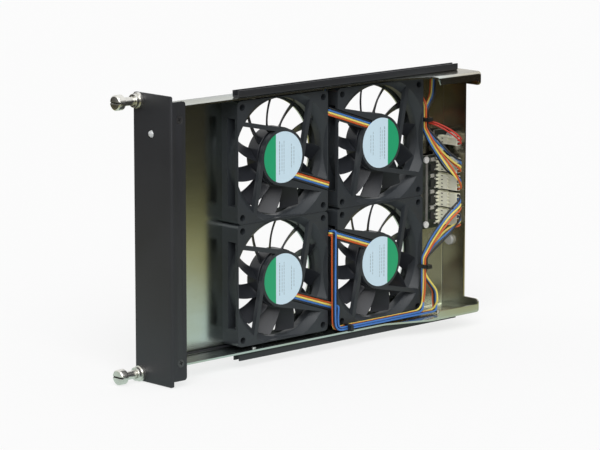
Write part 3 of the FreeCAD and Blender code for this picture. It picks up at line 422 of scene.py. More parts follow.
@dataclass(frozen=True)
class WireSleeve(Finish):
    """Smooth wire sleeve with a slight unevenness of colour and gloss."""

    dirt: float = 140.0
    skin: float = 1800.0

    def paint(self, shader: Shader) -> None:
        """Broad noise shifts the colour, fine noise the gloss.

        Args:
            shader: The material to fill in.
        """
        dirt = shader.noise(self.dirt, 3.0)
        skin = shader.noise(self.skin, 2.0)
        shader.set(Base_Color=self.tones(shader, dirt, 0.86, 1.08))
        shader.set(Roughness=self.uneven((skin, 0.12)))
        shader.set(Coat_Weight=0.15, Coat_Roughness=0.25)
        shader.bump(skin, 0.006 * MM)


@dataclass(frozen=True)
class LabelFilm(Finish):
    """Round fan label: a coloured segment towards the module's ends and plain rules on a pale field."""

    segment: Colour = (0.008, 0.36, 0.155)
    ink: Colour = (0.10, 0.14, 0.16)
    middle_x: float = 155.6
    column: float = 44.4
    row: float = 40.1
    chord: float = 6.5
    chord_edge: float = 0.08
    rules: tuple[Point, ...] = ((3.4, 0.55, 11.0), (1.2, 0.35, 9.0), (-0.6, 0.35, 11.0),
                                (-7.2, 0.4, 8.0), (-9.4, 0.4, 6.0))
    dash: float = 2.3
    dash_gap: float = 0.5
    dash_start: float = 40.0

    def paint(self, shader: Shader) -> None:
        """Distance from the fan's axis, folded about the module's middle, picks the field.

        Each rule states its place across the label, its width and half its length.

        Args:
            shader: The material to fill in.
        """
        x, _, z = shader.axes()
        across = (x - self.middle_x * MM).size() - self.column * MM
        along = z.size() - self.row * MM
        grain = shader.noise(2400.0, 2.0)
        pale = self.tones(shader, grain, 0.95, 1.04)
        rules = 0.0
        for place, width, half in self.rules:
            near = (across - place * MM).size() < width / 2 * MM
            rules = near * (along.size() < half * MM) + rules
        dashes = (along + self.dash_start * MM).repeat(self.dash * MM) > self.dash_gap * MM
        pale = shader.mix(rules * dashes * 0.75, pale, self.ink)
        edge = across.rise(self.chord * MM, (self.chord + self.chord_edge) * MM)
        shader.set(Base_Color=shader.mix(edge, pale, self.segment))
        shader.set(Roughness=self.uneven((grain, 0.10)), Coat_Weight=0.25, Coat_Roughness=0.2)
        shader.bump(grain, 0.003 * MM)


@dataclass(frozen=True)
class SolderMask(Finish):
    """Dark solder mask over copper tracks that run up and down the board."""

    track: Colour = (0.03, 0.05, 0.035)
    tinned: Colour = (0.17, 0.165, 0.16)
    pitch: float = 1.27
    track_half: float = 0.22
    block: float = 160.0
    strip_x: float = 254.2
    strip_half: float = 1.1
    strip_reach: float = 24.5

    def paint(self, shader: Shader) -> None:
        """Tracks repeat along x, broken into stretches by blocky noise.

        Args:
            shader: The material to fill in.
        """
        x, _, z = shader.axes()
        line = (x.repeat(self.pitch * MM) - self.pitch / 2 * MM).size() < self.track_half * MM
        blocks = shader.node("ShaderNodeTexVoronoi", {"distance": "CHEBYCHEV"},
                             {"Vector": shader.vector(x * 0.4, 0.0, z), "Scale": self.block}, "Color")
        where = shader.node("ShaderNodeSeparateColor", {}, {0: blocks}) > 0.45
        tracks = line * where
        dust = shader.noise(700.0, 3.0)
        strip = (x - self.strip_x * MM).size() < self.strip_half * MM
        strip = strip * (z.size() < self.strip_reach * MM)
        masked = shader.mix(tracks, self.colour, self.track)
        shader.set(Base_Color=shader.mix(strip, masked, self.tinned))
        shader.set(Roughness=self.uneven((dust, 0.15)), Coat_Weight=0.3, Coat_Roughness=0.2)
        shader.bump(tracks + dust * 0.2, 0.02 * MM)


@dataclass(frozen=True)
class Laminated(Finish):
    """Stacked iron sheets or a ferrite ring, with layers along y."""

    layer: float = 0.5
    seam: float = 0.12

    def paint(self, shader: Shader) -> None:
        """A thin dark seam at every layer, with noise in the gloss.

        Args:
            shader: The material to fill in.
        """
        _, y, _ = shader.axes()
        seam = y.repeat(self.layer * MM) < self.seam * self.layer * MM
        marks = shader.noise(600.0, 3.0)
        shader.set(Base_Color=self.tones(shader, seam, 1.0, 0.4))
        shader.set(Roughness=self.uneven((marks, 0.2)))
        shader.bump(1.0 - seam, 0.02 * MM)


@dataclass(frozen=True)
class ClearEpoxy(Finish):
    """Water-clear indicator body with a faint haze."""

    def paint(self, shader: Shader) -> None:
        """Haze shifts colour and gloss a little.

        Args:
            shader: The material to fill in.
        """
        haze = shader.noise(900.0, 2.0)
        shader.set(Base_Color=self.tones(shader, haze, 0.92, 1.05))
        shader.set(Roughness=self.uneven((haze, 0.08)))
        shader.set(Transmission_Weight=0.35, IOR=1.5, Coat_Weight=0.5, Coat_Roughness=0.05)


class Finishes:
    """All finishes of the module."""

    tray = PlatedSheet("plated_sheet", (0.64, 0.69, 0.67), 0.22, 1.0)
    paint = SatinPaint("satin_black_paint", (0.021, 0.022, 0.026), 0.46)
    nickel = TurnedMetal("turned_nickel", (0.80, 0.79, 0.74), 0.31, 1.0)
    black_screw = PlainMetal("black_screw", (0.10, 0.10, 0.105), 0.34, 0.7)
    zinc = PlainMetal("zinc_screw", (0.74, 0.75, 0.74), 0.28, 1.0)
    dull_zinc = PlainMetal("dull_zinc", (0.72, 0.73, 0.72), 0.5, 0.35)
    spring = PlainMetal("spring_wire", (0.62, 0.62, 0.63), 0.25, 1.0)
    fan = MouldedPlastic("fan_plastic", (0.034, 0.039, 0.044), 0.40, gloss=0.3)
    blades = MouldedPlastic("blade_plastic", (0.021, 0.023, 0.028), 0.36, gloss=0.32)
    iron = Laminated("motor_iron", (0.14, 0.14, 0.15), 0.5, 0.8)
    motor = PlainMetal("motor_steel", (0.6, 0.6, 0.6), 0.3, 1.0)
    label = LabelFilm("label_film", (0.60, 0.77, 0.87), 0.42)
    board = SolderMask("solder_mask", (0.010, 0.014, 0.012), 0.35)
    glass_edge = MouldedPlastic("board_edge", (0.30, 0.29, 0.25), 0.6)
    nylon = MouldedPlastic("white_nylon", (0.80, 0.80, 0.78), 0.4)
    ivory = MouldedPlastic("ivory_nylon", (0.86, 0.85, 0.69), 0.45)
    chip = MouldedPlastic("chip_epoxy", (0.025, 0.025, 0.026), 0.5)
    ceramic = MouldedPlastic("ceramic", (0.42, 0.41, 0.38), 0.5)
    socket = MouldedPlastic("connector_black", (0.022, 0.022, 0.024), 0.5)
    tie = MouldedPlastic("tie_nylon", (0.014, 0.014, 0.015), 0.4)
    epoxy = ClearEpoxy("clear_epoxy", (0.80, 0.82, 0.82), 0.12)
    gold = PlainMetal("gold_contact", (0.83, 0.62, 0.27), 0.25, 1.0)
    # Painted shade: a dark finish for blocks set into the plugs' slits and mouths, where there is only
    # shade.
    shadow = MouldedPlastic("hollow_shade", (0.05, 0.045, 0.035), 0.7)
    # Painted shade laid on the walls and floor of each knob's slot.
    slot = PlainMetal("slot_shade", (0.06, 0.058, 0.052), 0.6, 0.4)


class Lay(Enum):
    """How a lead's wires lie, from orange to black: places across it and off its flat, in gauges."""

    CROSSING = ((-1.2, 0.0), (-0.4, -0.6), (0.75, 0.0), (0.75, -1.1))
    BUNCHED = ((-1.0, 0.0), (-0.5, -0.87), (1.0, 0.0), (0.0, 0.0))
    EDGED = ((-0.5, 0.0), (-1.5, 0.0), (1.5, 0.0), (0.5, 0.0))
    LOOSE = ((-1.5, 0.0), (1.5, 0.0), (0.5, 0.0), (-0.5, 0.0))


class WireColour(Enum):
    """Sleeves of a fan's lead in the order that they lie, with the outer one on a strut first."""

    ORANGE = WireSleeve("sleeve_orange", (0.62, 0.105, 0.018), 0.38)
    YELLOW = WireSleeve("sleeve_yellow", (0.88, 0.74, 0.16), 0.38)
    BLUE = WireSleeve("sleeve_blue", (0.05, 0.18, 0.52), 0.38)
    BLACK = WireSleeve("sleeve_black", (0.014, 0.015, 0.018), 0.38)
    RED = WireSleeve("sleeve_red", (0.55, 0.03, 0.015), 0.38)


@contextmanager
def welded(mesh: bpy.types.Mesh, distance: float) -> Iterator[bmesh.types.BMesh]:
    """Open a mesh for changes, with near points joined, and write it back at the end.

    Args:
        mesh: The mesh.
        distance: Points nearer than this, in millimetres, become one.

    Yields:
        The open mesh.
    """
    work = bmesh.new()
    work.from_mesh(mesh)
    bmesh.ops.remove_doubles(work, verts=work.verts, dist=distance * MM)
    yield work
    work.to_mesh(mesh)
    work.free()


class Surface:
    """Vertices and quads of one piece, gathered from grids of points."""

    def __init__(self) -> None:
        """Start with nothing."""
        self.points: list[np.ndarray] = []
        self.quads: list[np.ndarray] = []
        self.count = 0

    def grid(self, points: np.ndarray) -> "Surface":
        """Join neighbours of a grid with quads, and its last column with the first.

        Args:
            points: Array of rows, columns and three coordinates, in metres.

        Returns:
            The surface itself.
        """
        rows, columns = points.shape[:2]
        index = np.arange(rows * columns).reshape(rows, columns) + self.count
        index = np.hstack([index, index[:, :1]])
        corners = [index[:-1, :-1], index[1:, :-1], index[1:, 1:], index[:-1, 1:]]
        self.quads.append(np.stack(corners, axis=-1).reshape(-1, 4))
        self.points.append(points.reshape(-1, 3))
        self.count += rows * columns
        return self

    def mesh(self, name: str) -> bpy.types.Mesh:
        """Join the gathered grids, with closed poles and outward faces.

        Args:
            name: Name of the mesh.

        Returns:
            The mesh.
        """
        mesh = bpy.data.meshes.new(name)
        mesh.from_pydata(np.concatenate(self.points).tolist(), [], np.concatenate(self.quads).tolist())
        with welded(mesh, 0.0005) as work:
            bmesh.ops.recalc_face_normals(work, faces=work.faces)
        return mesh


def add_object(name: str, data: bpy.types.ID) -> bpy.types.Object:
    """Put an object into the scene.

    Args:
        name: Name of the object.
        data: Its mesh, curve, lamp or camera.

    Returns:
        The new object.
    """
    item = bpy.data.objects.new(name, data)
    bpy.context.scene.collection.objects.link(item)
    return item


def aim(item: bpy.types.Object, way: Vector) -> None:
    """Turn a lamp or camera to look along a direction."""
    item.rotation_mode = "QUATERNION"
    item.rotation_quaternion = way.to_track_quat("-Z", "Y")


def add_piece(name: str, data: bpy.types.ID, finish: Finish, slot: str, body: str = MODULE,
              replaces: tuple[str, ...] = ()) -> bpy.types.Object:
    """Put a mesh or curve into the scene as a piece of a body.

    Args:
        name: Name of the piece.
        data: Its mesh or curve.
        finish: Its finish.
        slot: The record's material slot; not used.
        body: The body that it rides on.
        replaces: CAD nodes that it stands for.

    Returns:
        The new object.
    """
    piece = add_object(name, data)
    data.materials.clear()
    data.materials.append(finish.material())
    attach(piece, body)
    if replaces:
        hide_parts(*replaces)
    LOG.info("piece %s on %s", name, body)
    return piece


def smooth(mesh: bpy.types.Mesh, angle: float = 35.0) -> None:
    """Shade a mesh smooth, with edges sharper than an angle kept."""
    mesh.shade_smooth()
    mesh.set_sharp_from_angle(angle=math.radians(angle))


def add_surface(name: str, surface: Surface, finish: Finish, slot: str, body: str = MODULE,
                replaces: tuple[str, ...] = (), angle: float = 35.0) -> bpy.types.Object:
    """Put gathered grids into the scene as one smooth piece.

    Args:
        name: Name of the piece.
        surface: Its gathered grids.
        finish: Its finish.
        slot: The record's material slot.
        body: The body that it rides on.
        replaces: CAD nodes that it stands for.
        angle: Smallest angle of an edge that stays sharp, in degrees.

    Returns:
        The new object.
    """
    mesh = surface.mesh(name)
    smooth(mesh, angle)
    return add_piece(name, mesh, finish, slot, body, replaces)


def node_slot(node: str) -> str:
    """Material slot of a CAD node."""
    return next(part["material_slot"] for part in frame["record"]["subparts"] if part["node"] == node)


def node_body(node: str) -> str:
    """Body of a CAD node."""
    return frame["nodes"][node]["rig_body"]


def dress(node: str, finish: Finish) -> None:
    """Give a CAD node, shown as it is, a finish."""
    frame["nodes"][node].material_slots[0].material = finish.material()
    LOG.info("finish %s on %s", finish.name, node)


def skin(node: str, finish: Finish, edge: float = 0.0, angle: float = 35.0) -> bpy.types.Object:
    """Stand a smooth copy of a CAD node, with eased edges, in its place.

    Args:
        node: The CAD node.
        finish: Its finish.
        edge: Width of the eased edges in millimetres, or nought for none.
        angle: Smallest angle of an edge that stays sharp, in degrees.

    Returns:
        The new piece.
    """
    mesh = frame["nodes"][node].data.copy()
    flat = math.radians(0.3)
    with welded(mesh, 0.002) as work:
        bmesh.ops.dissolve_limit(work, angle_limit=flat, verts=work.verts, edges=work.edges)
    smooth(mesh, angle)
    piece = add_piece(node + "_skin", mesh, finish, node_slot(node), node_body(node), (node,))
    if edge:
        bevel = piece.modifiers.new("eased_edges", "BEVEL")
        bevel.width = edge * MM
        bevel.segments = 2
        bevel.limit_method = "ANGLE"
        bevel.angle_limit = math.radians(angle)
        bevel.harden_normals = True
    return piece


def skin_all(*rows: tuple[str, Finish, float]) -> None:
    """Stand smooth copies of several CAD nodes, each with its finish and width of eased edges."""
    for node, finish, edge in rows:
        skin(node, finish, edge)


def face_values(piece: bpy.types.Object, kind: str) -> np.ndarray:
    """Centres or normals of a piece's faces.

    Args:
        piece: The piece.
        kind: Either center, which is in metres, or normal.

    Returns:
        Rows of x, y and z, with one column for each face.
    """
    values = np.empty(len(piece.data.polygons) * 3, np.float32)
    piece.data.polygons.foreach_get(kind, values)
    return values.reshape(-1, 3).T


def second_finish(piece: bpy.types.Object, chosen: np.ndarray, finish: Finish) -> None:
    """Give the chosen faces of a piece a finish of their own."""
    piece.data.materials.append(finish.material())
    piece.data.polygons.foreach_set("material_index", chosen.astype(np.int32))


def full_turn(steps: int) -> np.ndarray:
    """Even angles of one turn, in radians."""
    return np.linspace(0.0, 2 * np.pi, steps, endpoint=False)


def turned(radius: np.ndarray, height: np.ndarray, centre: Point, axis: int, steps: int) -> np.ndarray:
    """Grid of rows that go once round an axis through a centre.

    A point is the centre plus height along the axis and radius times (cosine, sine) of the
    turn on the other two axes.

    Args:
        radius: Column with each row's radius in millimetres.
        height: Column with each row's height, or each point's height, in millimetres.
        centre: Centre in millimetres.
        axis: Number of the axis.
        steps: Steps of the turn.

    Returns:
        Points of row by step, in metres.
    """
    angle = full_turn(steps)
    first, second = [k for k in range(3) if k != axis]
    points = np.empty((len(radius), steps, 3))
    points[..., axis] = height
    points[..., first] = radius * np.cos(angle)
    points[..., second] = radius * np.sin(angle)
    return (points + np.array(centre)) * MM


@dataclass(frozen=True)
class CrossScrews:
    """Screw heads with a cross recess: a domed or flat disc whose height drops in a cross."""

    radius: float
    height: float
    recess: float
    arm: float
    width: float
    rim: float = 0.25
    arm_side: float = 0.12
    arm_end: float = 0.3
    steps: int = 96

    def grid(self, centre: Point, axis: int, way: float, turn: float) -> np.ndarray:
        """Grid of one head.

        At a share of the radius the height falls by the share's fourth power to the rim's part
        of it, less the recess where a point lies in either arm of the cross.

        Args:
            centre: Centre of the head's seat in millimetres.
            axis: Number of the axis.
            way: Plus or minus one, the way that the head stands.
            turn: Turn of the cross in radians.

        Returns:
            Points of radius by angle, in metres.
        """
        share = np.concatenate([np.linspace(0.0, 0.96, 22), [0.985, 1.0, 1.0]])[:, None]
        angle = full_turn(self.steps) - turn
        radius = share * self.radius
        lift = self.height * (1.0 - share ** 4 * (1 - self.rim))
        lift[-1] = 0.0
        u = radius * np.cos(angle)
        v = radius * np.sin(angle)
        inside = np.maximum(self.bar(u, v), self.bar(v, u))
        return turned(radius, way * (lift - self.recess * inside), centre, axis, self.steps)

    def bar(self, along: np.ndarray, across: np.ndarray) -> np.ndarray:
        """How deep points lie in one arm: one in its middle, falling to nought at sides and ends.

        Args:
            along: Places along the arm in millimetres.
            across: Places across it.

        Returns:
            Depths from nought to one.
        """
        side = np.clip((self.width / 2 - np.abs(across)) / self.arm_side + 0.5, 0.0, 1.0)
        end = np.clip((self.arm - np.abs(along)) / self.arm_end, 0.0, 1.0)
        return side * end


def block(centre: Point, size: Point, squareness: float = 0.22) -> np.ndarray:
    """Grid of a small box with rounded edges.

    A point is the centre plus half the size times the powers, with their signs, of the cosines
    and sines of a height angle and a turn, which is a superquadric.

    Args:
        centre: Centre in millimetres.
        size: Full size along x, y and z in millimetres.
        squareness: Power of the cosines and sines, smaller for squarer edges.

    Returns:
        Points of height by turn, in metres.
    """
    up = np.linspace(-np.pi / 2, np.pi / 2, 9)[:, None]
    turn = np.linspace(-np.pi, np.pi, 16, endpoint=False)[None]
    power = [np.sign(part) * np.abs(part).round(9) ** squareness
             for part in (np.cos(up), np.sin(up), np.cos(turn), np.sin(turn))]
    unit = np.stack([power[0] * power[2], power[0] * power[3], power[1] + 0 * turn], axis=-1)
    return (np.array(centre) + unit * np.array(size) / 2) * MM


@dataclass
class Impeller:
    """Turning hub of one fan with its swept blades."""

    number: int
    x: float
    z: float
    first_tip: float
    blades: int = 11
    near: float = 5.6
    far: float = 15.2
    root: float = 18.6
    tip: float = 37.6
    sweep: float = 12.5
    root_pitch: float = 48.0
    tip_pitch: float = 41.5
    camber: float = 0.55
    thickness: float = 1.0
    root_swell: float = 0.8
    hub_radius: float = 19.3
    hub_wall: float = 2.0
    hub_near: float = 5.4
    hub_far: float = 15.8
    hub_edge: float = 0.7
    rim_edge: float = 0.2
    edge_power: float = 0.7
    sweep_power: float = 1.15
    sharp: float = 40.0
    hub_steps: int = 96
    blade_rows: int = 18
    blade_steps: int = 32

    def build(self) -> None:
        """Turn the hub and set the blades round it."""
        hub = self.hub()
        surface = Surface()
        surface.grid(turned(hub[:, :1], hub[:, 1:], (self.x, 0.0, self.z), 1, self.hub_steps))
        for k in range(self.blades):
            surface.grid(self.blade(self.first_tip + k * 360.0 / self.blades))
        node = f"impeller_{self.number}"
        add_surface(node + "_skin", surface, Finishes.blades, node_slot(node), node_body(node), (node,),
                    self.sharp)

    def hub(self) -> np.ndarray:
        """Profile of the hub cup, closed at both faces.

        Returns:
            Radius and place along the axis of each point, in millimetres.
        """
        edge = self.hub_edge
        curve = np.linspace(0.0, np.pi / 2, 5)
        corner = np.stack([self.hub_radius - edge + edge * np.sin(curve),
                           self.hub_far - edge + edge * np.cos(curve)], axis=-1)
        inner = self.hub_radius - self.hub_wall
        floor = self.hub_far - self.hub_wall
        rim = [(self.hub_radius, self.hub_near + self.rim_edge),
               (self.hub_radius - self.rim_edge, self.hub_near),
               (inner, self.hub_near), (inner, floor), (0.0, floor)]
        return np.concatenate([[(0.0, self.hub_far)], corner, rim])

    def blade(self, tip_angle: float) -> np.ndarray:
        """Grid of one blade, closed at its root and tip.

        At a share of the way from root to tip the section is a cambered, round-edged strip. It
        runs from near to far at a pitch angle and is wrapped round the axis at its radius, so a
        place along it turns by that place over the radius. Sections lag behind the tip by the
        sweep times what is left of the way.

        Args:
            tip_angle: Angle of the tip's middle from the top, clockwise from the front, in degrees.

        Returns:
            Points of radius by place round the section, in metres.
        """
        share = np.concatenate([[0.0], np.linspace(0.0, 1.0, self.blade_rows), [1.0]])[:, None]
        solid = np.ones_like(share)
        solid[[0, -1]] = 0.0
        radius = self.root + (self.tip - self.root) * share
        around = full_turn(self.blade_steps)[None]
        along = np.cos(around)
        pitch = np.radians(self.root_pitch + (self.tip_pitch - self.root_pitch) * share)
        thick = self.thickness + self.root_swell * np.exp(-(radius - self.hub_radius))
        bulge = np.sign(np.sin(around)) * np.abs(np.sin(around)) ** self.edge_power
        skin_off = bulge * thick / 2 * solid
        off = skin_off + self.camber * (1.0 - along ** 2)
        deep = (self.far - self.near - self.thickness) / 2
        wide = deep / np.tan(pitch)
        turn = (along * wide - off * np.sin(pitch)) / radius
        angle = np.radians(tip_angle - self.sweep * (1.0 - share ** self.sweep_power)) + turn
        y = (self.near + self.far) / 2 + along * deep + off * np.cos(pitch)
        return np.stack([self.x + radius * np.sin(angle), y + 0 * angle,
                         self.z + radius * np.cos(angle)], axis=-1) * MM


@dataclass
class Fans:
    """Frames, impellers, labels and motors of the fans, with the screws that hold them."""

    numbers: tuple[int, ...] = (1, 2, 3, 4)
    hole_pitch: float = 71.5
    columns: tuple[float, float] = (111.2, 200.0)
    rows: tuple[float, float] = (40.1, -40.1)
    plate_far: float = 17.6
    first_tips: tuple[float, ...] = (-4.1, -13.5, 2.7, 4.0)
    head: CrossScrews = CrossScrews(radius=3.6, height=1.9, recess=1.1, arm=2.0, width=0.75)
    head_turn: float = 0.7

    def build(self) -> None:
        """Dress every fan and set the screws."""
        for number in self.numbers:
            skin(f"fan_frame_{number}", Finishes.fan, 0.22)
            Impeller(number, self.columns[(number - 1) % 2], self.rows[(number - 1) // 2],
                     self.first_tips[number - 1]).build()
            for inner in ("rotor_cup", "shaft", "bearings"):
                dress(f"{inner}_{number}", Finishes.motor)
            for inner in ("stator", "magnet"):
                dress(f"{inner}_{number}", Finishes.iron)
        skin("fan_labels", Finishes.label)
        dress("driver_boards", Finishes.board)
        self.screws()

    def screws(self) -> None:
        """Pan heads behind the plate, one at every fan hole."""
        surface = Surface()
        half = self.hole_pitch / 2
        turn = 0.0
        for x in self.columns:
            for z in self.rows:
                for dx in (-half, half):
                    for dz in (-half, half):
                        turn += self.head_turn
                        centre = (x + dx, self.plate_far, z + dz)
                        surface.grid(self.head.grid(centre, 1, 1.0, turn))
        add_surface("fan_screw_heads", surface, Finishes.zinc, "zinc_steel", MODULE, ("fan_screws",))


@dataclass
class CaptiveScrew:
    """One captive screw of the panel: knob, ferrule and the spring between them."""

    end: str
    sign: float
    y: float = 12.6
    z: float = 87.0
    coil_start: float = -5.05
    coil_end: float = 3.75
    coil_radius: float = 2.175
    wire: float = 0.25
    turns: float = 5.0
    turn_steps: int = 40
    wire_steps: int = 10
    pushed: float = 0.46
    knob_face: float = -21.3
    slot_width: float = 1.0
    slot_depth: float = 1.1

    def build(self) -> None:
        """Dress knob and ferrule and wind the spring."""
        self.shade_slot(skin(f"thumbscrew_{self.end}", Finishes.nickel, 0.12))
        skin(f"ferrule_{self.end}", Finishes.nickel, 0.15)
        self.spring()

    def shade_slot(self, knob: bpy.types.Object) -> None:
        """Paint shade on the walls and floor of the knob's slot with a dull dark second finish.

        Args:
            knob: The knob's piece.
        """
        x, _, z = face_values(knob, "center") / MM
        in_width = np.abs(z - self.sign * self.z) < self.slot_width / 2 + 0.02
        in_depth = (x > self.knob_face + 0.1) & (x < self.knob_face + self.slot_depth + 0.1)
        # Painted shade: the slot's faces take the dark finish.
        second_finish(knob, in_width & in_depth, Finishes.slot)

    def spring(self) -> None:
        """Helix of round wire, the spring that the screw squeezes when pushed in, built at one length.

        The centre line goes round the axis at the coil's radius while x rises evenly, and a
        ring of the wire's radius is carried along it on the outward and x directions.
        """
        turn = np.linspace(0.0, 2 * np.pi * self.turns, int(self.turn_steps * self.turns))[:, None]
        ring = full_turn(self.wire_steps)
        radius = self.coil_radius + self.wire * np.cos(ring)
        x = self.coil_start + (self.coil_end - self.coil_start) * turn / turn.max()
        points = np.stack([x + self.wire * np.sin(ring), self.y + radius * np.cos(turn),
                           self.sign * self.z + radius * np.sin(turn)], axis=-1) * MM
        ends = [np.repeat(points[k].mean(axis=0)[None, None], self.wire_steps, axis=1) for k in (0, -1)]
        points = np.concatenate([ends[0], points, ends[1]])
        surface = Surface().grid(points)
        coil = add_surface(f"coil_{self.end}", surface, Finishes.spring, "spring_steel", MODULE,
                           (f"spring_{self.end}",))
        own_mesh(coil)


@dataclass
class Housing:
    """Sheet metal of the module: panel, tray and rails with their fasteners."""

    screw_x: float = 5.7
    screw_y: float = -17.6
    screw_z: float = 77.0
    screw: CrossScrews = CrossScrews(radius=2.6, height=0.02, recess=0.9, arm=1.5, width=0.5, rim=0.0)
    screw_turns: tuple[float, float] = (0.5, 0.2)

    def build(self) -> None:
        """Dress the sheets and set the panel's screws."""
        skin_all(("tray", Finishes.tray, 0.12), ("front_panel", Finishes.paint, 0.2),
                 ("upper_rail", Finishes.paint, 0.15), ("lower_rail", Finishes.paint, 0.15),
                 ("rail_rivets", Finishes.zinc, 0.2), ("panel_nuts", Finishes.zinc, 0.15))
        surface = Surface()
        for sign, turn in zip((1, -1), self.screw_turns):
            centre = (self.screw_x, self.screw_y, sign * self.screw_z)
            surface.grid(self.screw.grid(centre, 1, -1.0, turn))
        add_surface("panel_screw_heads", surface, Finishes.black_screw, "black_screws", MODULE,
                    ("panel_screws",))


@dataclass
class Indicator:
    """Lamp in the panel with its clip."""

    def build(self) -> None:
        """Dress lens and clip."""
        skin("led_lens", Finishes.epoxy, 0.0, 50.0)
        skin("led_holder", Finishes.socket, 0.15)


@dataclass
class BoardAssembly:
    """Circuit board with its spacers, connectors and small parts."""

    face: float = 11.5
    plug_x: float = 264.8
    plug_middle: float = 266.7
    plug_end: float = -6.1
    pitch: float = 2.54
    rows: tuple[tuple[float, int], ...] = ((18.15, 4), (6.05, 4), (-6.05, 4), (-18.15, 4), (34.5, 2))
    foot: Point = (2.4, 1.3, 1.5)
    foot_off: float = 1.1
    latch_y: float = 7.4
    slit: Point = (0.12, 1.7, 0.6)
    mouth: Point = (2.5, 0.12, 1.9)
    sunk: float = 0.02
    part_x: float = 258.6
    part_rows: tuple[float, ...] = (21.4, 10.2, -0.8, -11.8)
    part: Point = (3.2, 1.2, 2.5)
    part_end: Point = (0.5, 1.1, 2.4)
    part_end_off: float = 1.75
    chip_x: float = 261.9
    chip: Point = (1.7, 0.7, 1.0)
    chip_rows: tuple[float, float, float] = (-23.0, 30.0, 3.1)
    contact_x: float = 278.05
    contact_y: float = 8.8
    contact_half: float = 0.62

    def build(self) -> None:
        """Dress the board and what is on it."""
        self.pale_edges(skin("circuit_board", Finishes.board, 0.08))
        skin_all(("board_standoffs", Finishes.nylon, 0.15), ("board_screws", Finishes.nylon, 0.25),
                 ("board_components", Finishes.chip, 0.15), ("board_headers", Finishes.ivory, 0.15),
                 ("lead_plugs", Finishes.ivory, 0.15))
        self.gilded(skin("docking_connector", Finishes.socket, 0.15))
        skin("docking_bolts", Finishes.dull_zinc, 0.25)
        self.connector_details()
        self.small_parts()

    def contacts(self) -> list[float]:
        """Heights of all contacts of the five connectors."""
        return [row + (k - (count - 1) / 2) * self.pitch
                for row, count in self.rows for k in range(count)]

    def blocks(self, name: str, places: list[Point], size: Point, finish: Finish, slot: str) -> None:
        """One piece of equal small blocks with rounded edges.

        Args:
            name: Name of the piece.
            places: Centres of the blocks in millimetres.
            size: Size of each block.
            finish: Their finish.
            slot: The record's material slot.
        """
        surface = Surface()
        for place in places:
            surface.grid(block(place, size))
        add_surface(name, surface, finish, slot, angle=50.0)

    def connector_details(self) -> None:
        """Feet of the headers, and painted shade: dark blocks in the latch slits of the plugs and in
        the mouths that the wires go into.
        """
        heights = self.contacts()
        feet = [(self.plug_x - self.foot_off, self.face - self.foot[1] / 2, z) for z in heights]
        self.blocks("header_feet", feet, self.foot, Finishes.ivory, "connector_ivory")
        # Painted shade: dark blocks in the latch slits and in the wire mouths.
        slits = [(self.plug_x + self.sunk, self.latch_y, z) for z in heights]
        self.blocks("plug_latch_slit_shade", slits, self.slit, Finishes.shadow, "connector_black")
        mouths = [(self.plug_middle, self.plug_end + self.sunk, z) for z in heights]
        self.blocks("plug_mouth_shade", mouths, self.mouth, Finishes.shadow, "connector_black")

    def small_parts(self) -> None:
        """Pale and dark surface-mounted parts between the chips and the connectors."""
        large = [(self.part_x, self.face - self.part[1] / 2, z) for z in self.part_rows]
        self.blocks("ceramic_parts", large, self.part, Finishes.ceramic, "chip_black")
        tin = [(self.part_x + off, self.face - self.part_end[1] / 2, z)
               for z in self.part_rows for off in (-self.part_end_off, self.part_end_off)]
        self.blocks("tin_ends", tin, self.part_end, Finishes.zinc, "zinc_steel")
        chips = [(self.chip_x, self.face - self.chip[1] / 2, float(z))
                 for z in np.arange(*self.chip_rows)]
        self.blocks("pale_chips", chips[::2], self.chip, Finishes.ceramic, "chip_black")
        self.blocks("dark_chips", chips[1::2], self.chip, Finishes.chip, "chip_black")

    def gilded(self, connector: bpy.types.Object) -> None:
        """Give the docking connector's row of contacts a gold finish.

        Args:
            connector: The connector's piece.
        """
        x, y, _ = face_values(connector, "center") / MM
        inside = (x > self.contact_x) & (np.abs(y - self.contact_y) < self.contact_half)
        second_finish(connector, inside, Finishes.gold)

    def pale_edges(self, board: bpy.types.Object) -> None:
        """Give the board's cut edges the look of bare glass laminate."""
        _, y, _ = face_values(board, "normal")
        second_finish(board, np.abs(y) < 0.5, Finishes.glass_edge)


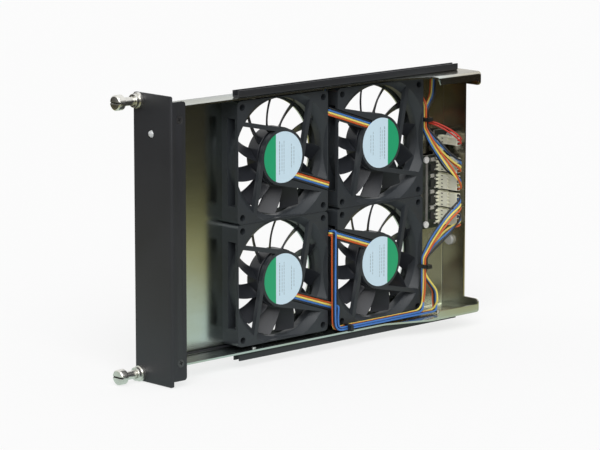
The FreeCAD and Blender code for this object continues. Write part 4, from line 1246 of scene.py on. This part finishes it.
@dataclass
class Lead:
    """A flat lead of wires that lie side by side along one route."""

    name: str
    node: str
    route: list[Point]
    side: Point
    colours: tuple[WireColour, ...]
    gauge: float
    held: tuple[float, ...]
    level: int = -1
    pitches: tuple[float, ...] = ()
    replaces: bool = True
    lays: tuple[tuple[int, int, Lay], ...] = ()
    way: float = 1.0
    wavers: tuple[tuple[float, ...], ...] = ((0.22, 2.3, 1.9, 0.0), (0.44, 1.7, 2.6, 0.5))
    most_of_run: float = 0.48
    snug: float = 0.97

    def build(self) -> None:
        """One round wire for every colour, at its own place across the lead."""
        points, sides = self.path(np.array(self.route))
        pitch = np.full(len(points), self.gauge)
        if self.pitches:
            pitch[-len(self.pitches):] = self.pitches
        runs = np.gradient(points, axis=0)
        normals = np.cross(runs / np.linalg.norm(runs, axis=1)[:, None], sides)
        places = self.places(len(points))
        for number, colour in enumerate(self.colours):
            across = places[:, number, 0] * pitch
            off = places[:, number, 1] * pitch
            placed = points + across[:, None] * sides + off[:, None] * normals
            wire = self.wire(f"{self.name}_{colour.name.lower()}_{number}", placed)
            replaces = (self.node,) if self.replaces and number == 0 else ()
            add_piece(wire.name, wire, colour.value, node_slot(self.node), MODULE, replaces)

    def places(self, count: int) -> np.ndarray:
        """Place of every wire across the lead and off its flat.

        Wires lie side by side unless a lay is stated for a stretch of control points. Where
        the lead hangs free each wire wavers a little, by sines of its number and the point's.

        Args:
            count: Number of control points.

        Returns:
            Array of control points, wires and two places, in gauges.
        """
        wires = np.arange(len(self.colours))
        places = np.zeros((count, len(wires), 2))
        places[..., 0] = wires - wires.mean()
        for first, last, lay in self.lays:
            places[first:last + 1] = np.array(lay.value) * self.way
        free = np.arange(max(count - len(self.pitches), 0), count - 2)[:, None]
        for axis, (size, by_point, by_wire, start) in enumerate(self.wavers):
            places[free, wires, axis] += size * np.sin(by_point * free + by_wire * wires + start)
        return places

    def path(self, route: np.ndarray) -> tuple[np.ndarray, np.ndarray]:
        """Control points of the lead's middle and the direction across it at each.

        The side is carried from run to run without twist, and turns to Y in one run. At a held
        corner two more points, as far off as stated, keep the bend tight, and the side is
        mitred. Past the held corners the lead hangs free, and turns to the plug's row.

        Args:
            route: Points of the route in millimetres.

        Returns:
            Control points and one vector across the lead for each.
        """
        runs = np.diff(route, axis=0)
        lengths = np.linalg.norm(runs, axis=1)
        runs /= lengths[:, None]
        side = np.array(self.side) - runs[0] * np.dot(self.side, runs[0])
        side /= np.linalg.norm(side)
        points = [route[0]]
        sides = [side]
        for k, (before, after) in enumerate(zip(runs, runs[1:])):
            if k == self.level:
                side = np.array([0.0, math.copysign(1.0, side[1]), 0.0])
            turned = side - (before + after) * (after @ side) / (1 + before @ after)
            corner = route[k + 1]
            mitre = (side + turned) / (1 + side @ turned)
            if k < len(self.held):
                off = min(self.held[k], self.most_of_run * min(lengths[k], lengths[k + 1]))
                points += [corner - before * off, corner, corner + after * off]
                sides += [side, mitre, turned]
            else:
                points.append(corner)
                sides.append(mitre)
            side = turned
        points.append(route[-1])
        sides.append(side)
        if self.pitches:
            sides[-2:] = [np.array([0.0, 0.0, 1.0])] * 2
        return np.array(points), np.array(sides)

    def wire(self, name: str, points: np.ndarray) -> bpy.types.Curve:
        """A smooth round wire.

        Args:
            name: Name of the wire.
            points: Its control points in millimetres.

        Returns:
            The wire's curve.
        """
        curve = bpy.data.curves.new(name, "CURVE")
        curve.dimensions = "3D"
        curve.bevel_depth = self.gauge / 2 * self.snug * MM
        curve.bevel_resolution = 3
        curve.resolution_u = 8
        curve.use_fill_caps = True
        spline = curve.splines.new("NURBS")
        spline.points.add(len(points) - 1)
        placed = np.ones((len(points), 4), np.float32)
        placed[:, :3] = points * MM
        spline.points.foreach_set("co", placed.ravel())
        spline.order_u = 3
        spline.use_endpoint_u = True
        return curve


@dataclass
class Wiring:
    """Leads of the fans and the indicator, with the ties that hold them."""

    gauge: float = 1.4
    lamp_gauge: float = 1.2
    columns: tuple[float, float] = (111.2, 200.0)
    row: float = 40.1
    line_radius: float = 9.4
    line_tilt: float = 18.5
    first: float = 6.0
    strut_y: float = 2.5
    gap_x: float = 153.0
    gap_step: float = 2.6
    top: float = 80.95
    upper_runs: tuple[float, float] = (12.9, 7.05)
    upper_tie: Point = (243.5, 4.35, 51.3)
    lower_tie: Point = (236.8, -2.44, -47.66)
    layers: tuple[float, float] = (-80.06, -78.54)
    layer: float = 1.52
    tie_straight: float = 5.8
    plug: tuple[float, float] = (266.7, -6.1)
    plug_turn: float = -11.2
    plug_rows: tuple[float, ...] = (18.15, 6.05, -6.05, -18.15)
    plug_pitch: float = 2.54
    spread: tuple[float, float] = (1.25, 1.5)
    held: tuple[tuple[float, ...], ...] = (
        (3.0, 8.8, 12.0, 5.0, 5.0, 5.0, 3.0), (3.0, 6.1, 12.0, 12.0, 12.0, 7.0, 7.0, 5.0, 3.0),
        (3.0, 6.6, 8.6, 12.0, 3.0), (3.0, 6.6, 12.0, 7.0, 7.0, 5.0, 3.0))
    sleeve_held: tuple[float, ...] = (4.0, 5.0, 8.0, 8.0, 8.0)
    lamp_held: tuple[float, ...] = (3.0,)
    lamp_spread: float = 1.3
    lamp_row: float = 34.5
    upper_back: float = 52.5
    lower_back: float = 49.0
    corner: float = 14.0
    first_drop: float = 9.0
    first_to_tie: float = 9.7
    second_shift: float = 20.0
    second_lean: float = 1.0
    second_to_tie: float = 6.2
    fourth_lean: float = 0.5
    fourth_to_tie: float = 7.3
    lamp_hole: Point = (5.0, 1.3, 66.9)
    lamp_x: float = 12.5
    lamp_drop: tuple[float, float] = (50.0, 30.0)
    lamp_depth: float = 14.2
    lamp_back: float = 45.4
    lamp_over: float = 9.5
    lamp_crest: Point = (3.6, -9.2, 15.5)
    lamp_fall: Point = (-8.7, 3.7, 8.5)
    hang_shares: tuple[Point, ...] = ((0.2, 0.32, 0.34), (0.53, 0.855, 0.755))

    def build(self) -> None:
        """Lay every lead and dress the ties."""
        self.upper()
        self.lower()
        self.lamp()
        skin("cable_ties", Finishes.tie, 0.2)

    def strut(self, number: int, gap_x: float, run_y: float, layer: float) -> list[Point]:
        """The first points of a fan's lead.

        They go along the line that touches a circle round the fan's axis, to the gap between
        the columns, into the gap's depth there, and up or down to a layer.

        Args:
            number: Number of the fan.
            gap_x: Where the lead folds in the gap.
            run_y: Its depth in the gap.
            layer: Height at which it turns to the rear.

        Returns:
            Four points in millimetres.
        """
        sign = 1 if number in (1, 3) else -1
        x = self.columns[(number - 1) % 2]
        z = self.row if number < 3 else -self.row
        tilt = math.radians(self.line_tilt)
        along = self.first
        start = (x + sign * (along * math.cos(tilt) - self.line_radius * math.sin(tilt)), self.strut_y,
                 z - sign * (along * math.sin(tilt) + self.line_radius * math.cos(tilt)))
        height = start[2] - (gap_x - start[0]) * math.tan(tilt)
        return [start, (gap_x, self.strut_y, height), (gap_x, run_y, height), (gap_x, run_y, layer)]

    def hang(self, tie: Point, row: float) -> list[Point]:
        """The last points of a lead, which hangs from its tie to a plug.

        The two between lie at stated shares of the way to the plug's turn, one for each axis.

        Args:
            tie: Where the lead leaves its tie.
            row: Height of the plug.

        Returns:
            Five points in millimetres.
        """
        turn = (self.plug[0], self.plug_turn, row)
        between = [tuple(a + (b - a) * share for a, b, share in zip(tie, turn, shares))
                   for shares in self.hang_shares]
        return [tie, *between, turn, (*self.plug, row)]

    def fan_lead(self, number: int, route: list[Point],
                 lays: tuple[tuple[int, int, Lay], ...] = ()) -> None:
        """Lay one fan's lead along its route.

        Args:
            number: Number of the fan.
            route: Points of the route in millimetres.
            lays: First and last control point of each stretch, and how its wires lie there.
        """
        tilt = math.radians(self.line_tilt)
        sign = -1.0 if number in (1, 3) else 1.0
        side = (sign * math.sin(tilt), 0.0, sign * math.cos(tilt))
        colours = (WireColour.ORANGE, WireColour.YELLOW, WireColour.BLUE, WireColour.BLACK)
        spread = [self.gauge * share for share in self.spread]
        pitches = (*spread, self.plug_pitch, self.plug_pitch)
        Lead(f"lead_{number}", f"fan_lead_{number}", route, side, colours, self.gauge,
             self.held[number - 1], 2, pitches, True, lays, sign).build()

    def upper(self) -> None:
        """Leads of the upper fans, over the fans to the tie and down to the upper plugs."""
        x, y, z = self.upper_tie
        beside = x + self.layer
        deep, near = self.upper_runs
        back = self.columns[1] + self.upper_back
        first = self.strut(1, self.gap_x, deep, self.top)
        first += [(x, deep, self.top), (x, deep, self.top - self.first_drop),
                  (x, y, z + self.first_to_tie)]
        first += self.hang((x, y, z - self.tie_straight), self.plug_rows[1])
        second = self.strut(2, self.gap_x, near, self.top)
        second += [(self.columns[1] - self.second_shift, near, self.top),
                   (self.columns[1] + self.second_shift, y, self.top), (back, y, self.top),
                   (back - self.second_lean, y, self.top - self.corner),
                   (beside, y, z + self.second_to_tie)]
        second += self.hang((beside, y, z - self.tie_straight), self.plug_rows[0])
        self.fan_lead(1, first)
        self.fan_lead(2, second)

    def lower(self) -> None:
        """Leads of the lower fans, along the lower flange to the tie and up to the lower plugs."""
        x, y, z = self.lower_tie
        beside = x + self.layer
        under, over = self.layers
        back = self.columns[1] + self.lower_back
        third = self.strut(3, self.gap_x + self.gap_step, y, over) + [(x, y, over)]
        third += self.hang((x, y, z + self.tie_straight), self.plug_rows[2])
        fourth = self.strut(4, self.gap_x, y, under)
        fourth += [(back, y, under), (back - self.fourth_lean, y, under + self.corner),
                   (beside, y, z - self.fourth_to_tie)]
        fourth += self.hang((beside, y, z + self.tie_straight), self.plug_rows[3])
        shown = ((4, 4, Lay.CROSSING), (5, 7, Lay.BUNCHED), (8, 10, Lay.EDGED), (11, 11, Lay.BUNCHED))
        self.fan_lead(3, third, shown)
        self.fan_lead(4, fourth, (*shown, (12, 17, Lay.LOOSE)))

    def lamp(self) -> None:
        """The indicator's two wires, sleeved black as far as the rise behind the last fan."""
        rise = self.columns[1] + self.lamp_back
        deep = self.lamp_depth
        front = self.lamp_x
        _, near, height = self.lamp_hole
        start = (rise, deep, self.lamp_row)
        sleeved = [self.lamp_hole, (front, near, height), (front, near, self.lamp_drop[0]),
                   (front, deep, self.lamp_drop[1]), (front, deep, -self.top), (rise, deep, -self.top),
                   start]
        turn = (self.plug[0], self.plug_turn, self.lamp_row)
        crest = tuple(a + b for a, b in zip(start, self.lamp_crest))
        fall = tuple(a + b for a, b in zip(turn, self.lamp_fall))
        bare = [start, (rise, deep, self.lamp_row + self.lamp_over), crest, fall, turn,
                (*self.plug, self.lamp_row)]
        black = (WireColour.BLACK, WireColour.BLACK)
        red = (WireColour.RED, WireColour.RED)
        side = (0.0, 1.0, 0.0)
        pitches = (self.lamp_gauge * self.lamp_spread, self.plug_pitch, self.plug_pitch)
        Lead("lamp_sleeve", "led_lead", sleeved, side, black, self.lamp_gauge, self.sleeve_held).build()
        Lead("lamp_lead", "led_lead", bare, side, red, self.lamp_gauge, self.lamp_held, -1, pitches,
             False).build()


@dataclass
class Studio:
    """Pale floor, soft light and the camera."""

    camera_at: Point = (-1294.3, -1502.4, 366.3)
    looks_at: Point = (127.5, 3.0, -6.7)
    focal_px: float = 3224.0
    image_width: float = 600.0
    sensor: float = 36.0
    floor_z: float = -92.6
    floor_size: float = 30000.0
    ambient: float = 0.57
    sun: float = 1.85
    sun_way: Point = (0.6, 0.7, -0.8)
    sun_angle: float = 50.0
    horizon: float = 0.22
    cloth: float = 0.72
    shown_cloth: float = 0.93
    # Painted reflection: colours that only reflections see on the floor, pale near the module,
    # yellow-brown further off and dark far away, the darkest also low in the world; the camera sees the
    # floor plain pale.
    near_reflection: Colour = (0.60, 0.71, 0.66)
    mid_reflection: Colour = (0.47, 0.43, 0.18)
    far_reflection: Colour = (0.023, 0.020, 0.015)
    pool: tuple[float, float, float, float] = (125.0, 360.0, 300.0, 640.0)
    pool_x: float = 70.0
    shown_floor: float = 0.72
    front_dim: float = 0.2
    front_reach: tuple[float, float] = (0.2, 0.6)

    def build(self) -> None:
        """Set up floor, world, lamps and camera."""
        bpy.context.scene.view_settings.view_transform = "Standard"
        self.world()
        self.floor()
        self.lamps()
        self.camera()

    def world(self) -> None:
        """A plain grey light, white to the camera and dim in reflections low down and in front."""
        world = bpy.data.worlds.new("studio")
        world.use_nodes = True
        backdrop = Backdrop(world.node_tree)
        depth = backdrop.node("ShaderNodeSeparateXYZ", {}, {0: backdrop.place}, "Y")
        height = backdrop.node("ShaderNodeSeparateXYZ", {}, {0: backdrop.place}, "Z")
        front = (0.0 - depth).rise(*self.front_reach)
        lit = (height - self.front_dim * front).rise(0.0, self.horizon)
        mirrored = backdrop.mix(lit, self.far_reflection, WHITE)
        shown = backdrop.mix(backdrop.ray("Is Glossy Ray"), WHITE, mirrored)
        light = backdrop.node("ShaderNodeBackground", {}, {"Color": WHITE, "Strength": self.ambient})
        seen = backdrop.node("ShaderNodeBackground", {}, {"Color": shown, "Strength": 1.0})
        both = backdrop.node("ShaderNodeMixShader", {}, {0: backdrop.seen(1.0), 1: light, 2: seen})
        backdrop.node("ShaderNodeOutputWorld", {}, {0: both}, None)
        bpy.context.scene.world = world

    def floor(self) -> None:
        """A wide pale floor just under the module, with a painted reflection that fades with distance.
        """
        half = self.floor_size / 2 * MM
        z = self.floor_z * MM
        mesh = bpy.data.meshes.new("floor")
        mesh.from_pydata([(-half, -half, z), (half, -half, z), (half, half, z), (-half, half, z)], [],
                         [(0, 1, 2, 3)])
        floor = add_object("floor", mesh)
        material = bpy.data.materials.new("floor")
        material.use_nodes = True
        backdrop = Backdrop(material.node_tree)
        flat = backdrop.node("ShaderNodeVectorMath", {"operation": "MULTIPLY"},
                             {0: backdrop.place, 1: (1.0, 1.0, 0.0)})
        away = backdrop.node("ShaderNodeVectorMath", {"operation": "DISTANCE"},
                             {0: flat, 1: (self.pool_x * MM, 0.0, 0.0)}, "Value")
        # Painted reflection: glossy rays see these graded colours on the floor in place of white.
        start, middle, turn, end = (reach * MM for reach in self.pool)
        fade = backdrop.mix(away.rise(start, middle), self.near_reflection, self.mid_reflection)
        fade = backdrop.mix(away.rise(turn, end), fade, self.far_reflection)
        shown = backdrop.mix(backdrop.ray("Is Glossy Ray"), WHITE, fade)
        glow = backdrop.node("ShaderNodeEmission", {}, {"Color": shown, "Strength": 1.0})
        cloth = backdrop.mix(backdrop.ray("Is Camera Ray"), shade(WHITE, self.cloth),
                             shade(WHITE, self.shown_cloth))
        matt = backdrop.node("ShaderNodeBsdfDiffuse", {}, {"Color": cloth})
        share = backdrop.seen(self.shown_floor)
        both = backdrop.node("ShaderNodeMixShader", {}, {0: share, 1: matt, 2: glow})
        backdrop.node("ShaderNodeOutputMaterial", {}, {0: both}, None)
        mesh.materials.append(material)

    def lamps(self) -> None:
        """A soft sun from above the camera's left."""
        data = bpy.data.lights.new("key", "SUN")
        data.energy = self.sun
        data.angle = math.radians(self.sun_angle)
        aim(add_object("key", data), Vector(self.sun_way))

    def camera(self) -> None:
        """The camera at the photograph's angle."""
        data = bpy.data.cameras.new("camera")
        data.sensor_width = self.sensor
        data.sensor_fit = "HORIZONTAL"
        data.lens = self.focal_px / self.image_width * self.sensor
        data.clip_end = 100.0
        camera = add_object("camera", data)
        eye = Vector(self.camera_at) * MM
        camera.location = eye
        aim(camera, Vector(self.looks_at) * MM - eye)
        bpy.context.scene.camera = camera


def main() -> None:
    """Build every sub-assembly in order."""
    logging.basicConfig(level=logging.INFO, format="%(message)s")
    Studio().build()
    Wiring().build()
    Housing().build()
    Fans().build()
    for end, sign in (("upper", 1.0), ("lower", -1.0)):
        CaptiveScrew(end, sign).build()
    Indicator().build()
    BoardAssembly().build()


if __name__ == "__main__":
    main()
